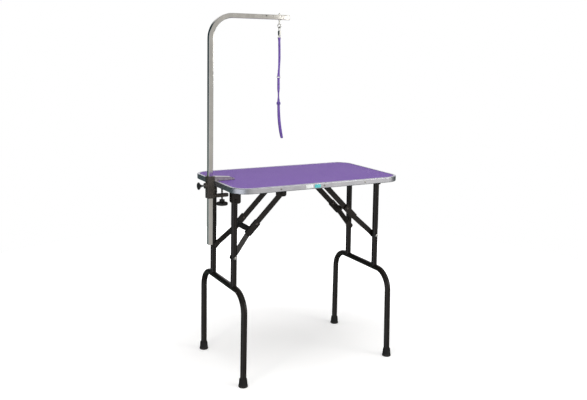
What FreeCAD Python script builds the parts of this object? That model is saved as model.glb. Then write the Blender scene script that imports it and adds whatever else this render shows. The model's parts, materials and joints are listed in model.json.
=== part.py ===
import FreeCAD, Part
import math
import os

# Folding grooming table with a clamped arm and a noose.  Millimetres, +Z up.
# The pieces are modelled about the centre of the table top (X along its length, Y across it,
# Z from the floor) and moved at the end so that the origin lies under the middle of the whole.
V = FreeCAD.Vector
ORIGIN = V(0, 0, 0)
AXIS_X = V(1, 0, 0)
AXIS_Y = V(0, 1, 0)
AXIS_Z = V(0, 0, 1)

# ---- table top ----
TOP_LENGTH = 762.0
TOP_WIDTH = 457.0
TOP_CORNER_RADIUS = 69.0
STANDING_HEIGHT = 800.0          # floor to the face of the mat
MAT_THICKNESS = 2.0
BOARD_THICKNESS = 17.0
TRIM_WALL = 1.6
TRIM_LIP = 1.2                   # thickness of the lips over the mat and under the board
TRIM_LIP_WIDTH = 11.0
TRIM_EDGE_RADIUS = 2.6
RIVET_SPACING = 193.0
RIVET_SIDE_Y = 100.0
RIVET_HEAD = 1.5

# ---- leg frames ----
TUBE_DIAMETER = 25.0
TUBE_WALL = 1.5
LEG_HINGE_X = 335.0
FOOT_X = 345.0                   # the frames lean out a little
UPRIGHT_Y = 106.0
FOOT_Y = 210.5
FOOT_SPREAD = {"left": 0.0, "right": 8.0}       # further out at the floor than at the bow
BOW_HEIGHT = 379.0               # floor to the middle of the crossbar
BOW_BEND_RADIUS = 80.0
HINGE_DEPTH = {"left": 45.0, "right": 18.0}    # hinge axis under the board, so the frames nest
TUBE_ABOVE_HINGE = {"left": 36.0, "right": 8.0}
FOOT_HEIGHT = 35.0
FOOT_BASE_DIAMETER = 38.0
FOOT_TOP_DIAMETER = 31.0
FOOT_FLOOR_THICKNESS = 6.0

# ---- hinge and brace brackets ----
BRACKET_METAL = 2.5
BRACKET_LENGTH = {"hinge": 35.0, "brace": 44.0}
BRACKET_INBOARD = {"hinge": 3.0, "brace": 0.0}   # from the pivot to the middle of the bracket
BRACKET_FLANGE = 15.0
INNER_CHEEK_INBOARD = {"hinge": 9.0, "brace": 22.0}   # how far it reaches inboard of the pivot
BRACKET_BELOW_PIVOT = 12.0
HINGE_BOLT_DIAMETER = 8.0
HINGE_SIDE_GAP = 0.5
PIN_CLEARANCE = 0.1
SCREW_DIAMETER = 4.0
SCREW_LENGTH = 12.0

# ---- folding braces ----
BRACE_BRACKET_X = {"left": 106.0, "right": 97.0}
BRACE_BOLT_DROP = {"left": 233.0, "right": 241.0}   # hinge to brace bolt along the leg
UPPER_BAR_Y = {"left": 61.0, "right": 56.0}
BAR_THICKNESS = 4.0
UPPER_BAR_WIDTH = 23.5
LOWER_BAR_WIDTH = 22.5
KNEE_STEP = 5.6                  # the lower bar lies this far outside the upper one at the knee
LOWER_BAR_END_Y = 90.9           # against the inner side of the upright
BRACE_BOLT_DIAMETER = 8.0
BRACKET_BOLT_DIAMETER = 6.0
BRIDGE_METAL = 1.8
BRIDGE_BEFORE_KNEE = 12.0
BRIDGE_PAST_KNEE = 57.0
BRIDGE_DROP_INNER = 11.5
BRIDGE_DROP_OUTER = 13.5
BRIDGE_STRIP = (25.0, 49.0)      # from the knee, along the brace
SPLAY_START = 61.0
SPLAY_END = 24.0                 # before the brace bolt

# ---- clamp and arm ----
ARM_X = -396.5
ARM_Y = -6.0
ARM_LEAN = 0.69                  # degrees: the post tips in toward the table
ARM_LEAN_HEIGHT = 760.0          # where the middle of the leaning post is at ARM_X
ARM_SIZE = 19.0
ARM_WALL = 1.5
ARM_CORNER = 2.0
ARM_BOTTOM = 541.0
ARM_BAR_HEIGHT = 1440.0
ARM_BEND_RADIUS = 90.0
ARM_END_X = -53.5
EYEBOLT_X = -94.0
EYEBOLT_DIAMETER = 5.0
SPARE_HOLE_X = -156.0
SPARE_HOLE_DIAMETER = 5.5
SPARE_HOLE_RISE = 4.0            # above the middle of the bar
SLEEVE_SIZE = 30.0
SLEEVE_BORE = 19.7
SLEEVE_BOTTOM = 732.0
SLEEVE_TOP = 820.0
JAW_TIP_X = -290.0
JAW_SHOULDER_X = -312.0
JAW_ROOT_RISE = 17.5
JAW_SHOULDER_RISE = 12.0
JAW_TIP_RISE = 3.5
JAW_ROOT_WIDTH = 30.0
JAW_TIP_WIDTH = 11.0
LOWER_JAW_END_X = -318.0
LOWER_JAW_HEIGHT = 739.5
LOWER_JAW_THICKNESS = 13.0
LOWER_JAW_WIDTH = 22.0
CLAMP_SCREW_X = -345.0
CLAMP_SCREW_DIAMETER = 8.0
CLAMP_KNOB_DIAMETER = 47.0
CLAMP_KNOB_BOTTOM = 698.0
CLAMP_KNOB_TOP = 721.5
LOCK_HEIGHT = 782.5
BOSS_DIAMETER = 23.0
BOSS_LENGTH = 9.5
REAR_BOSS_HEIGHT = 767.5
LOCK_KNOB_DIAMETER = 30.0
LOCK_KNOB_OUTER_X = -448.5
LOCK_KNOB_INNER_X = -433.5
LOCK_TIP_LENGTH = 2.5
PAD_THICKNESS = 5.0
PAD_RADIUS = 7.5
SCREW_TIP_DIAMETER = 6.0
SOCKET_DEPTH = 3.0
REST_GAP = 0.3                   # between a screw's pad or shoe and what it presses on

# ---- eyebolt, snap hook and noose ----
EYE_HEIGHT = 1407.5
EYE_RADIUS = 7.0
EYE_WIRE = 3.6
HOOK_LOOP_RADIUS = 5.5
HOOK_WIRE = 3.0
HOOK_TOP = 1404.1                # middle of the hook's wire where it hangs in the eye
HOOK_BODY_BOTTOM = 1370.0
HOOK_BODY_TOP = 1388.0
BOLT_WIRE = 2.6                  # the sliding bolt that closes the hook
BOLT_BOTTOM = 1379.0
BOLT_TOP = 1395.6
TRIGGER_HEIGHT = 1383.0
SWIVEL_PIN = 4.0
SWIVEL_EYE_HEIGHT = 1361.5
SWIVEL_EYE_WIDTH = 15.5
SWIVEL_EYE_TALL = 9.0
SWIVEL_EYE_WIRE = 2.4
STRAP_WIDTH = 9.5
STRAP_THICKNESS = 2.0
RING_HEIGHT = 1205.0
RING_WIDTH = 15.5
RING_TALL = 13.0
RING_WIRE = 2.6
SLIDER_SIZE = (14.0, 10.4, 10.0)
SLIDER_SLOT = (12.0, 8.0)

# The strap's routes: a little off plumb, as soft webbing hangs.
LEADER_ROUTE = [(-94.0, -6.0, 1357.0), (-92.2, -6.0, 1304.0), (-92.6, -6.0, 1254.0), (-95.4, -6.0, 1211.5)]
LOOP_ROUTE = [
    (-95.4, -7.6, 1198.5), (-95.0, -8.4, 1160.0), (-94.2, -8.3, 1100.0), (-92.0, -8.7, 1040.0),
    (-84.8, -9.3, 990.0), (-77.2, -8.6, 957.5),
    (-77.2, -3.4, 957.5), (-84.8, -2.7, 990.0),
    (-92.0, -3.3, 1040.0), (-94.2, -3.7, 1100.0), (-95.0, -3.6, 1160.0), (-95.4, -4.4, 1198.5)]
SLIDER_POINT = 2                 # the loop's point that the slider sits about

# ---- worked out from the above ----
BOARD_TOP = STANDING_HEIGHT - MAT_THICKNESS
BOARD_BOTTOM = BOARD_TOP - BOARD_THICKNESS
TRIM_TOP = STANDING_HEIGHT + TRIM_LIP
TRIM_BOTTOM = BOARD_BOTTOM - TRIM_LIP
TRIM_MIDDLE = (TRIM_TOP + TRIM_BOTTOM) / 2
TOP_EDGE_X = TOP_LENGTH / 2
BRACKET_BASE = BOARD_BOTTOM - BRACKET_METAL      # underside of a bracket's base
PAD_TOP = BOARD_BOTTOM - TRIM_LIP - REST_GAP
LOCK_TIP_X = ARM_X - ARM_SIZE / 2 - REST_GAP
BOLT_Y = ARM_Y + HOOK_LOOP_RADIUS                # the hook's open side
SIDES = ("left", "right")
ENDS = ("front", "rear")
ORIGIN_SHIFT = V(-(LOCK_KNOB_OUTER_X + TOP_EDGE_X + RIVET_HEAD) / 2, 0, 0)


# ---------------------------------------------------------------- small helpers

def box(x0, x1, y0, y1, z0, z1):
    return Part.makeBox(x1 - x0, y1 - y0, z1 - z0, V(x0, y0, z0))


def rod(diameter, start, end):
    start, end = V(*start), V(*end)
    return Part.makeCylinder(diameter / 2, (end - start).Length, start, end - start)


def prism(points, depth):
    """A flat outline of points, pushed along the vector depth."""
    outline = Part.makePolygon([V(*p) for p in points] + [V(*points[0])])
    return Part.Face(outline).extrude(V(*depth))


def turned(profile, base, axis):
    """Revolve (radius, height) points about an axis that starts at base."""
    outline = Part.makePolygon([V(r, 0, h) for r, h in profile + profile[:1]])
    solid = Part.Face(outline).revolve(ORIGIN, AXIS_Z, 360)
    solid.Placement = FreeCAD.Placement(V(*base), FreeCAD.Rotation(AXIS_Z, V(*axis)))
    return solid


def rounded_slab(length, width, radius, z0, z1):
    """An upright prism about the Z axis with rounded vertical corners."""
    slab = box(-length / 2, length / 2, -width / 2, width / 2, z0, z1)
    upright = [e for e in slab.Edges if abs(e.BoundBox.ZLength - (z1 - z0)) < 1e-6]
    return slab.makeFillet(radius, upright)


def edges_along(shape, axis, test):
    """Straight edges parallel to an axis whose middle passes a test."""
    found = []
    for edge in shape.Edges:
        way = edge.Vertexes[-1].Point - edge.Vertexes[0].Point
        if way.Length > 1e-6 and abs(abs(way.normalize().dot(axis)) - 1) < 1e-6:
            if test(edge.CenterOfMass):
                found.append(edge)
    return found


def group(shapes):
    return Part.makeCompound(shapes)


def mirrored(shape, side, end):
    """Pieces are drawn at the right and rear, and mirrored to the left or the front."""
    if side == "left":
        shape = shape.mirror(ORIGIN, AXIS_X)
    if end == "front":
        shape = shape.mirror(ORIGIN, AXIS_Y)
    return shape


def pivot_bolt(diameter, y_head, y_nut):
    """A round-headed bolt along Y with its nut, about the origin; two solids."""
    way = math.copysign(1.0, y_nut - y_head)
    radius = diameter / 2
    grip = abs(y_nut - y_head)
    head = [(0, -4.2), (radius * 0.9, -4.0), (radius * 1.5, -2.8), (radius * 1.75, -1.0),
            (radius * 1.75, 0), (radius, 0), (radius, grip + diameter * 0.9),
            (radius * 0.75, grip + diameter), (0, grip + diameter)]
    bolt = turned(head, (0, y_head, 0), (0, way, 0))
    return [bolt, hex_nut(diameter, (0, y_nut, 0), (0, way, 0))]


def hex_nut(diameter, base, axis):
    reach = diameter * 0.93
    turns = [math.radians(60 * k) for k in range(6)]
    nut = prism([(reach * math.cos(t), reach * math.sin(t), 0) for t in turns], (0, 0, diameter * 0.8))
    cone = turned([(0, -0.01), (reach, -0.01), (reach, diameter * 0.62),
                   (reach * 0.8, diameter * 0.81), (0, diameter * 0.81)], (0, 0, 0), (0, 0, 1))
    nut = nut.common(cone).cut(Part.makeCylinder(diameter / 2 + 0.02, diameter, V(0, 0, -0.05)))
    nut.Placement = FreeCAD.Placement(V(*base), FreeCAD.Rotation(AXIS_Z, V(*axis)))
    return nut


def moved(shape, x, y, z):
    shape = shape.copy()
    shape.translate(V(x, y, z))
    return shape


def pipe(path, profile):
    """Sweep one closed outline along a path."""
    return Part.Wire(path).makePipeShell([Part.Wire(profile)], True, False)


def bent_path(corners, radii):
    """Straight runs through the corners, joined by tangent arcs of the given radii."""
    points = [V(*c) for c in corners]
    edges = []
    here = points[0]
    for before, corner, after, radius in zip(points, points[1:], points[2:], radii):
        back = (before - corner).normalize()
        ahead = (after - corner).normalize()
        half = back.getAngle(ahead) / 2
        reach = radius / math.tan(half)
        start = corner + back * reach
        stop = corner + ahead * reach
        middle = corner + (back + ahead).normalize() * (radius / math.sin(half) - radius)
        edges.append(Part.LineSegment(here, start).toShape())
        edges.append(Part.Arc(start, middle, stop).toShape())
        here = stop
    edges.append(Part.LineSegment(here, points[-1]).toShape())
    return edges


# ---------------------------------------------------------------- side geometry

def pivot_height(side):
    return BOARD_BOTTOM - HINGE_DEPTH[side]


def leg_lean(side):
    """How far a leg frame leans out from plumb, in degrees."""
    return math.degrees(math.atan2(FOOT_X - LEG_HINGE_X, pivot_height(side)))


def leg_length(side):
    return math.hypot(FOOT_X - LEG_HINGE_X, pivot_height(side))


def place_leg(shape, side):
    """From the leg's own frame, its hinge at the origin and its tubes down, to the table."""
    shape = shape.copy()
    shape.rotate(ORIGIN, AXIS_Y, -leg_lean(side))
    shape.translate(V(LEG_HINGE_X, 0, pivot_height(side)))
    return shape


def brace_bolt_place(side):
    """The brace bolt on the right-hand leg, as (x, z)."""
    lean = math.radians(leg_lean(side))
    drop = BRACE_BOLT_DROP[side]
    return LEG_HINGE_X + drop * math.sin(lean), pivot_height(side) - drop * math.cos(lean)


def brace_lengths(side):
    """Upper and lower link lengths.

    Open, the two are in line; folded, the brace bolt comes up beside the bracket, and the
    difference of the two lengths is how far inboard of the bracket's pivot it comes.
    """
    bolt_x, bolt_z = brace_bolt_place(side)
    whole = math.hypot(bolt_x - BRACE_BRACKET_X[side], pivot_height(side) - bolt_z)
    difference = BRACE_BRACKET_X[side] - (LEG_HINGE_X - BRACE_BOLT_DROP[side])
    return (whole - difference) / 2, (whole + difference) / 2


def place_brace(shape, side):
    """From the brace's frame, its bracket pivot at the origin, X down along it and Z outward."""
    bolt_x, bolt_z = brace_bolt_place(side)
    fall = math.degrees(math.atan2(pivot_height(side) - bolt_z, bolt_x - BRACE_BRACKET_X[side]))
    shape = shape.copy()
    shape.rotate(ORIGIN, AXIS_Y, fall)
    shape.translate(V(BRACE_BRACKET_X[side], 0, pivot_height(side)))
    return shape


# ---------------------------------------------------------------- table top

def rivet_places():
    """Where the trim is fastened: (x, y, outward x, outward y)."""
    places = []
    for way in (-1, 1):
        places += [(k * RIVET_SPACING, way * TOP_WIDTH / 2, 0, way) for k in (-1, 0, 1)]
        places += [(way * TOP_EDGE_X, k * RIVET_SIDE_Y, way, 0) for k in (-1, 1)]
    return places


def trim_rivets():
    rivets = []
    for x, y, out_x, out_y in rivet_places():
        profile = [(0, -11.0), (2.0, -11.0), (2.0, 0), (3.6, 0), (3.5, 0.5), (2.6, 1.15),
                   (1.2, RIVET_HEAD - 0.05), (0, RIVET_HEAD)]
        rivets.append(turned(profile, (x, y, TRIM_MIDDLE), (out_x, out_y, 0)))
    return rivets


def edge_trim(rivets):
    outer = rounded_slab(TOP_LENGTH, TOP_WIDTH, TOP_CORNER_RADIUS, TRIM_BOTTOM, TRIM_TOP)
    rims = [e for e in outer.Edges if e.BoundBox.ZLength < 1e-6]
    outer = outer.makeFillet(TRIM_EDGE_RADIUS, rims)
    inset = 2 * TRIM_WALL
    channel = rounded_slab(TOP_LENGTH - inset, TOP_WIDTH - inset, TOP_CORNER_RADIUS - TRIM_WALL,
                           BOARD_BOTTOM, STANDING_HEIGHT)
    inset = 2 * TRIM_LIP_WIDTH
    window = rounded_slab(TOP_LENGTH - inset, TOP_WIDTH - inset, TOP_CORNER_RADIUS - TRIM_LIP_WIDTH,
                          TRIM_BOTTOM - 1, TRIM_TOP + 1)
    return outer.cut([channel, window] + rivets)


def board(fasteners):
    inset = 2 * TRIM_WALL + 0.2
    slab = rounded_slab(TOP_LENGTH - inset, TOP_WIDTH - inset, TOP_CORNER_RADIUS - TRIM_WALL - 0.1,
                        BOARD_BOTTOM, BOARD_TOP)
    return slab.cut(fasteners)


def mat():
    inset = 2 * TRIM_WALL + 0.2
    return rounded_slab(TOP_LENGTH - inset, TOP_WIDTH - inset, TOP_CORNER_RADIUS - TRIM_WALL - 0.1,
                        BOARD_TOP, STANDING_HEIGHT)


# ---------------------------------------------------------------- brackets

def bracket(kind, gap, side, pin):
    """A folded steel bracket: two cheeks with a pivot hole, and a flange each way under the board."""
    outer = gap / 2 + BRACKET_METAL
    bottom = pivot_height(side) - BRACKET_BELOW_PIVOT
    half = BRACKET_LENGTH[kind] / 2
    x0, x1 = -BRACKET_INBOARD[kind] - half, -BRACKET_INBOARD[kind] + half
    base = box(x0, x1, -outer - BRACKET_FLANGE, outer + BRACKET_FLANGE, BRACKET_BASE, BOARD_BOTTOM)
    corners = edges_along(base, AXIS_Z, lambda p: True)
    base = base.makeFillet(5.0, corners)
    for start, y0, y1 in ((-INNER_CHEEK_INBOARD[kind], -outer, -gap / 2), (x0, gap / 2, outer)):
        cheek = box(start, x1, y0, y1, bottom, BRACKET_BASE + 0.5)
        low = edges_along(cheek, AXIS_Y, lambda p: p.z < bottom + 1)
        base = base.fuse(cheek.makeFillet(9.0, low))
    hole = rod(pin, (0, -outer - 1, pivot_height(side)), (0, outer + 1, pivot_height(side)))
    return base.cut(hole).removeSplitter()


def bracket_screws(kind, gap):
    """Four pan-head screws through a bracket's flanges."""
    screws = []
    reach = BRACKET_LENGTH[kind] / 2 - 9
    for x in (-BRACKET_INBOARD[kind] - reach, -BRACKET_INBOARD[kind] + reach):
        for way in (-1, 1):
            y = way * (gap / 2 + BRACKET_METAL + BRACKET_FLANGE / 2)
            radius = SCREW_DIAMETER / 2
            profile = [(0, -2.4), (1.6, -2.3), (3.4, -1.5), (4.0, -0.4), (4.0, 0), (radius, 0),
                       (radius, SCREW_LENGTH - 3), (0, SCREW_LENGTH)]
            screws.append(turned(profile, (x, y, BRACKET_BASE), (0, 0, 1)))
    return screws


def bracket_set(side, end):
    """The hinge bracket and the brace bracket of one corner, their screws and their bolts."""
    hinge_gap = TUBE_DIAMETER + 2 * HINGE_SIDE_GAP
    brace_gap = BAR_THICKNESS + 1.6
    parts = {}
    screws = []
    bolts = []
    kinds = (("hinge", hinge_gap, HINGE_BOLT_DIAMETER, LEG_HINGE_X, UPRIGHT_Y),
             ("brace", brace_gap, BRACKET_BOLT_DIAMETER, BRACE_BRACKET_X[side],
              UPPER_BAR_Y[side]))
    for kind, gap, pin, x, y in kinds:
        own_screws = [moved(s, x, y, 0) for s in bracket_screws(kind, gap)]
        plate = moved(bracket(kind, gap, side, pin), x, y, 0).cut(own_screws)
        parts[kind] = mirrored(plate, side, end)
        outer = gap / 2 + BRACKET_METAL
        own_bolts = pivot_bolt(pin, outer, -outer)
        screws += [mirrored(s, side, end) for s in own_screws]
        bolts += [mirrored(moved(b, x, y, pivot_height(side)), side, end) for b in own_bolts]
    return parts, screws, bolts


# ---------------------------------------------------------------- leg frames

def bow_height(side):
    """The crossbar in the leg's own frame."""
    return -(pivot_height(side) - BOW_HEIGHT)


def upright(side):
    """One upright tube, coped onto the crossbar below it."""
    low = bow_height(side)
    high = TUBE_ABOVE_HINGE[side]
    tube = rod(TUBE_DIAMETER, (0, UPRIGHT_Y, low), (0, UPRIGHT_Y, high))
    bore = rod(TUBE_DIAMETER - 2 * TUBE_WALL, (0, UPRIGHT_Y, low - 1), (0, UPRIGHT_Y, high + 1))
    crossbar = rod(TUBE_DIAMETER, (0, UPRIGHT_Y - 40, low), (0, UPRIGHT_Y + 40, low))
    y0, y1 = UPRIGHT_Y - TUBE_DIAMETER, UPRIGHT_Y + TUBE_DIAMETER
    hinge = rod(HINGE_BOLT_DIAMETER + 2 * PIN_CLEARANCE, (0, y0, 0), (0, y1, 0))
    drop = -BRACE_BOLT_DROP[side]
    brace = rod(BRACE_BOLT_DIAMETER, (0, y0, drop), (0, y1, drop))
    return tube.cut([bore, crossbar, hinge, brace])


def foot_line(side):
    """The last run of the rear leg's tube in the leg's own frame, as (lower end, upward direction)."""
    low = V(0, FOOT_Y + FOOT_SPREAD[side], -leg_length(side) + FOOT_FLOOR_THICKNESS)
    high = V(0, FOOT_Y, bow_height(side))
    return low, (high - low).normalize()


def floor_bow(side):
    """The bent tube that joins the uprights and spreads to the two feet."""
    end, rise = foot_line(side)
    high = bow_height(side)
    corners = [(0, -end.y, end.z), (0, -FOOT_Y, high), (0, FOOT_Y, high), (0, end.y, end.z)]
    path = bent_path(corners, [BOW_BEND_RADIUS] * 2)
    outlines = [Part.Circle(V(0, -end.y, end.z), V(0, -rise.y, rise.z), TUBE_DIAMETER / 2 - inset).toShape()
                for inset in (0, TUBE_WALL)]
    return pipe(path, outlines[0]).cut(pipe(path, outlines[1]))


def leg_bolt(side):
    """The half of the brace pivot that the upright carries: it ends flush with the tube's side."""
    radius = BRACE_BOLT_DIAMETER / 2
    outside = UPRIGHT_Y + TUBE_DIAMETER / 2
    inside = UPRIGHT_Y - TUBE_DIAMETER / 2
    length = outside - inside
    profile = [(0, -3.6), (radius * 0.9, -3.4), (radius * 1.5, -2.4), (radius * 1.7, -0.8),
               (radius * 1.7, 0.6), (radius, 0.6), (radius, length), (0, length)]
    drop = -BRACE_BOLT_DROP[side]
    bolt = turned(profile, (0, outside, drop), (0, -1, 0))
    tube = rod(TUBE_DIAMETER, (0, UPRIGHT_Y, drop - 20), (0, UPRIGHT_Y, drop + 20))
    shank = rod(BRACE_BOLT_DIAMETER, (0, inside, drop), (0, outside, drop))
    return bolt.cut(tube).fuse(shank).removeSplitter()


def foot(side):
    """A tapered rubber cup, standing flat on the floor, with the leaning tube in it."""
    base = FOOT_BASE_DIAMETER / 2
    top = FOOT_TOP_DIAMETER / 2
    profile = [(0, 0), (base - 1.5, 0), (base, 1.5), (base, 7.0), (base - 1.2, 8.2),
               (top + 0.6, FOOT_HEIGHT - 5), (top, FOOT_HEIGHT - 4), (top, FOOT_HEIGHT - 1),
               (top - 1, FOOT_HEIGHT), (0, FOOT_HEIGHT)]
    end, rise = foot_line(side)
    cup = turned(profile, (FOOT_X, end.y, 0), (0, 0, 1))
    tube = place_leg(rod(TUBE_DIAMETER, end, end + rise * 60), side)
    return cup.cut(tube)


# ---------------------------------------------------------------- folding braces

def flat_bar(x0, x1, y, width, holes):
    """A bar along X with a round end about x0 and holes of (x, diameter)."""
    y0, y1 = y - BAR_THICKNESS / 2, y + BAR_THICKNESS / 2
    bar = box(x0, x1, y0, y1, -width / 2, width / 2)
    bar = bar.fuse(rod(width, (x0, y0, 0), (x0, y1, 0))).removeSplitter()
    return bar.cut([rod(d, (x, y0 - 1, 0), (x, y1 + 1, 0)) for x, d in holes])


def upper_link(side):
    upper, _ = brace_lengths(side)
    end = upper + BRIDGE_PAST_KNEE - 2
    pins = [(0, BRACKET_BOLT_DIAMETER + 2 * PIN_CLEARANCE), (upper, BRACE_BOLT_DIAMETER)]
    return flat_bar(0, end, UPPER_BAR_Y[side], UPPER_BAR_WIDTH, pins)


def lower_link(side):
    """The bar that splays from beside the upper link out to the upright, with its rivet's hole."""
    upper, lower = brace_lengths(side)
    half = BAR_THICKNESS / 2
    y_near, y_far = UPPER_BAR_Y[side] + KNEE_STEP, LOWER_BAR_END_Y
    turn_1, turn_2 = SPLAY_START, lower - SPLAY_END
    slope = math.atan2(y_far - y_near, turn_2 - turn_1)
    step = half * math.tan(slope / 2)
    radius = LOWER_BAR_WIDTH / 2
    outline = [(-radius, y_near - half, -radius), (turn_1 + step, y_near - half, -radius),
               (turn_2 + step, y_far - half, -radius), (lower + radius, y_far - half, -radius),
               (lower + radius, y_far + half, -radius), (turn_2 - step, y_far + half, -radius),
               (turn_1 - step, y_near + half, -radius), (-radius, y_near + half, -radius)]
    bar = prism(outline, (0, 0, LOWER_BAR_WIDTH))
    bends = edges_along(bar, AXIS_Z, lambda p: turn_1 - 5 < p.x < turn_2 + 5)
    bar = bar.makeFillet(10.0, bends)
    middle = box(0, lower, y_near - 5, y_far + 5, -radius, radius)
    ends = rod(LOWER_BAR_WIDTH, (0, y_near - 5, 0), (0, y_near + 5, 0)).fuse(
        rod(LOWER_BAR_WIDTH, (lower, y_far - 5, 0), (lower, y_far + 5, 0)))
    bar = bar.common(middle.fuse(ends))
    knee = rod(BRACE_BOLT_DIAMETER + 2 * PIN_CLEARANCE, (0, y_near - 5, 0), (0, y_near + 5, 0))
    rivet = lower_rivet(lower)
    bar = bar.cut([knee, rivet])
    return group([moved(bar, upper, 0, 0), moved(rivet, upper, 0, 0)])


def lower_rivet(lower):
    """The link's half of the brace pivot: a head on its inner side, flush where it meets the leg."""
    radius = BRACE_BOLT_DIAMETER / 2
    inner = LOWER_BAR_END_Y - BAR_THICKNESS / 2
    profile = [(0, -3.2), (radius * 0.9, -3.0), (radius * 1.5, -2.0), (radius * 1.7, -0.6),
               (radius * 1.7, 0), (radius, 0), (radius, BAR_THICKNESS), (0, BAR_THICKNESS)]
    return turned(profile, (lower, inner, 0), (0, 1, 0))


def knee_faces(side):
    """The inner faces of the knee bridge's two cheeks, either side of both bars."""
    inner = UPPER_BAR_Y[side] - BAR_THICKNESS / 2 - 0.05
    outer = UPPER_BAR_Y[side] + KNEE_STEP + BAR_THICKNESS / 2 + 0.7
    return inner, outer


def knee_bridge(side):
    """One stamped plate that boxes both knees and joins them with a strip to pull on."""
    upper, _ = brace_lengths(side)
    start, end = upper - BRIDGE_BEFORE_KNEE, upper + BRIDGE_PAST_KNEE
    seat = UPPER_BAR_WIDTH / 2 + 0.3
    top = seat + BRIDGE_METAL
    inner, outer = knee_faces(side)
    plates = [box(upper + BRIDGE_STRIP[0], upper + BRIDGE_STRIP[1], -inner, inner, seat, top)]
    for way in (-1, 1):
        web = sorted((way * (inner - BRIDGE_METAL), way * (outer + BRIDGE_METAL)))
        plates.append(box(start, end, web[0], web[1], seat, top))
        for near, far, drop in ((inner - BRIDGE_METAL, inner, BRIDGE_DROP_INNER),
                                (outer, outer + BRIDGE_METAL, BRIDGE_DROP_OUTER)):
            y0, y1 = sorted((way * near, way * far))
            cheek = box(start, end, y0, y1, -drop, top)
            low = edges_along(cheek, AXIS_Y, lambda p: p.z < 0)
            plates.append(cheek.makeFillet(8.0, low))
    bridge = plates[0].fuse(plates[1:]).removeSplitter()
    reach = outer + 10
    return bridge.cut(rod(BRACE_BOLT_DIAMETER, (upper, -reach, 0), (upper, reach, 0)))


def knee_rivet(side):
    """The rivet through one knee, headed on both cheeks of the bridge."""
    upper, _ = brace_lengths(side)
    radius = BRACE_BOLT_DIAMETER / 2
    inner, outer = knee_faces(side)
    inner -= BRIDGE_METAL
    length = outer + BRIDGE_METAL - inner
    profile = [(0, -2.6), (radius, -2.3), (radius * 1.6, -0.8), (radius * 1.6, 0), (radius, 0),
               (radius, length), (radius * 1.6, length), (radius * 1.6, length + 0.8),
               (radius, length + 2.3), (0, length + 2.6)]
    return turned(profile, (upper, inner, 0), (0, 1, 0))


# ---------------------------------------------------------------- clamp

def post_x(height):
    """The middle of the leaning post at a height."""
    return ARM_X + (height - ARM_LEAN_HEIGHT) * math.tan(math.radians(ARM_LEAN))


def leaned(shape):
    """Tip a piece of the sleeve along with the post."""
    shape = shape.copy()
    shape.rotate(V(ARM_X, ARM_Y, ARM_LEAN_HEIGHT), AXIS_Y, ARM_LEAN)
    return shape


def sleeve():
    tube = rounded_slab(SLEEVE_SIZE, SLEEVE_SIZE, 3.0, SLEEVE_BOTTOM, SLEEVE_TOP)
    bore = rounded_slab(SLEEVE_BORE, SLEEVE_BORE, 1.5, SLEEVE_BOTTOM - 1, SLEEVE_TOP + 1)
    tube = moved(tube.cut(bore), ARM_X, ARM_Y, 0)
    screw = rod(CLAMP_SCREW_DIAMETER + 2 * PIN_CLEARANCE, (ARM_X - SLEEVE_SIZE, ARM_Y, LOCK_HEIGHT),
                (ARM_X, ARM_Y, LOCK_HEIGHT))
    return leaned(tube.cut(screw))


def fitted_to_sleeve(jaw):
    """Cut a jaw's root to the leaning face that it is welded to."""
    block = rounded_slab(SLEEVE_SIZE, SLEEVE_SIZE, 3.0, SLEEVE_BOTTOM - 1, SLEEVE_TOP + 1)
    return jaw.cut(leaned(moved(block, ARM_X, ARM_Y, 0)))


def boss(base, axis):
    """A round boss with a bevelled end."""
    radius = BOSS_DIAMETER / 2
    bevel = 1.2
    profile = [(0, 0), (radius, 0), (radius, BOSS_LENGTH - bevel), (radius - bevel, BOSS_LENGTH),
               (0, BOSS_LENGTH)]
    return turned(profile, base, axis)


def clamp_bosses():
    """The threaded boss of the lock screw, and the blind one welded on the table's side."""
    half = SLEEVE_SIZE / 2
    lock = boss((ARM_X - half, ARM_Y, LOCK_HEIGHT), (-1, 0, 0))
    screw = rod(CLAMP_SCREW_DIAMETER + 2 * PIN_CLEARANCE, (ARM_X, ARM_Y, LOCK_HEIGHT),
                (ARM_X - 2 * SLEEVE_SIZE, ARM_Y, LOCK_HEIGHT))
    blind = boss((ARM_X + half, ARM_Y, REAR_BOSS_HEIGHT), (1, 0, 0))
    return [leaned(lock.cut(screw)), leaned(blind)]


def top_jaw():
    """A wedge over the edge of the table: it thins and narrows to its tip."""
    root = ARM_X + SLEEVE_SIZE / 2 - 1
    low = TRIM_TOP + 0.1
    y0, y1 = ARM_Y - JAW_ROOT_WIDTH / 2, ARM_Y + JAW_ROOT_WIDTH / 2
    side_view = prism([(root, y0, low), (JAW_TIP_X, y0, low), (JAW_TIP_X, y0, low + JAW_TIP_RISE),
                       (JAW_SHOULDER_X, y0, low + JAW_SHOULDER_RISE), (root, y0, low + JAW_ROOT_RISE)],
                      (0, JAW_ROOT_WIDTH, 0))
    tip = JAW_TIP_WIDTH / 2
    shoulder = JAW_ROOT_WIDTH / 2 - 4
    plan = prism([(root, y0, low - 1), (JAW_SHOULDER_X, ARM_Y - shoulder, low - 1),
                  (JAW_TIP_X, ARM_Y - tip, low - 1), (JAW_TIP_X, ARM_Y + tip, low - 1),
                  (JAW_SHOULDER_X, ARM_Y + shoulder, low - 1), (root, y1, low - 1)], (0, 0, 30))
    jaw = fitted_to_sleeve(side_view.common(plan))
    nose = edges_along(jaw, AXIS_Z, lambda p: p.x > JAW_TIP_X - 1)
    return jaw.makeFillet(4.0, nose)


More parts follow.
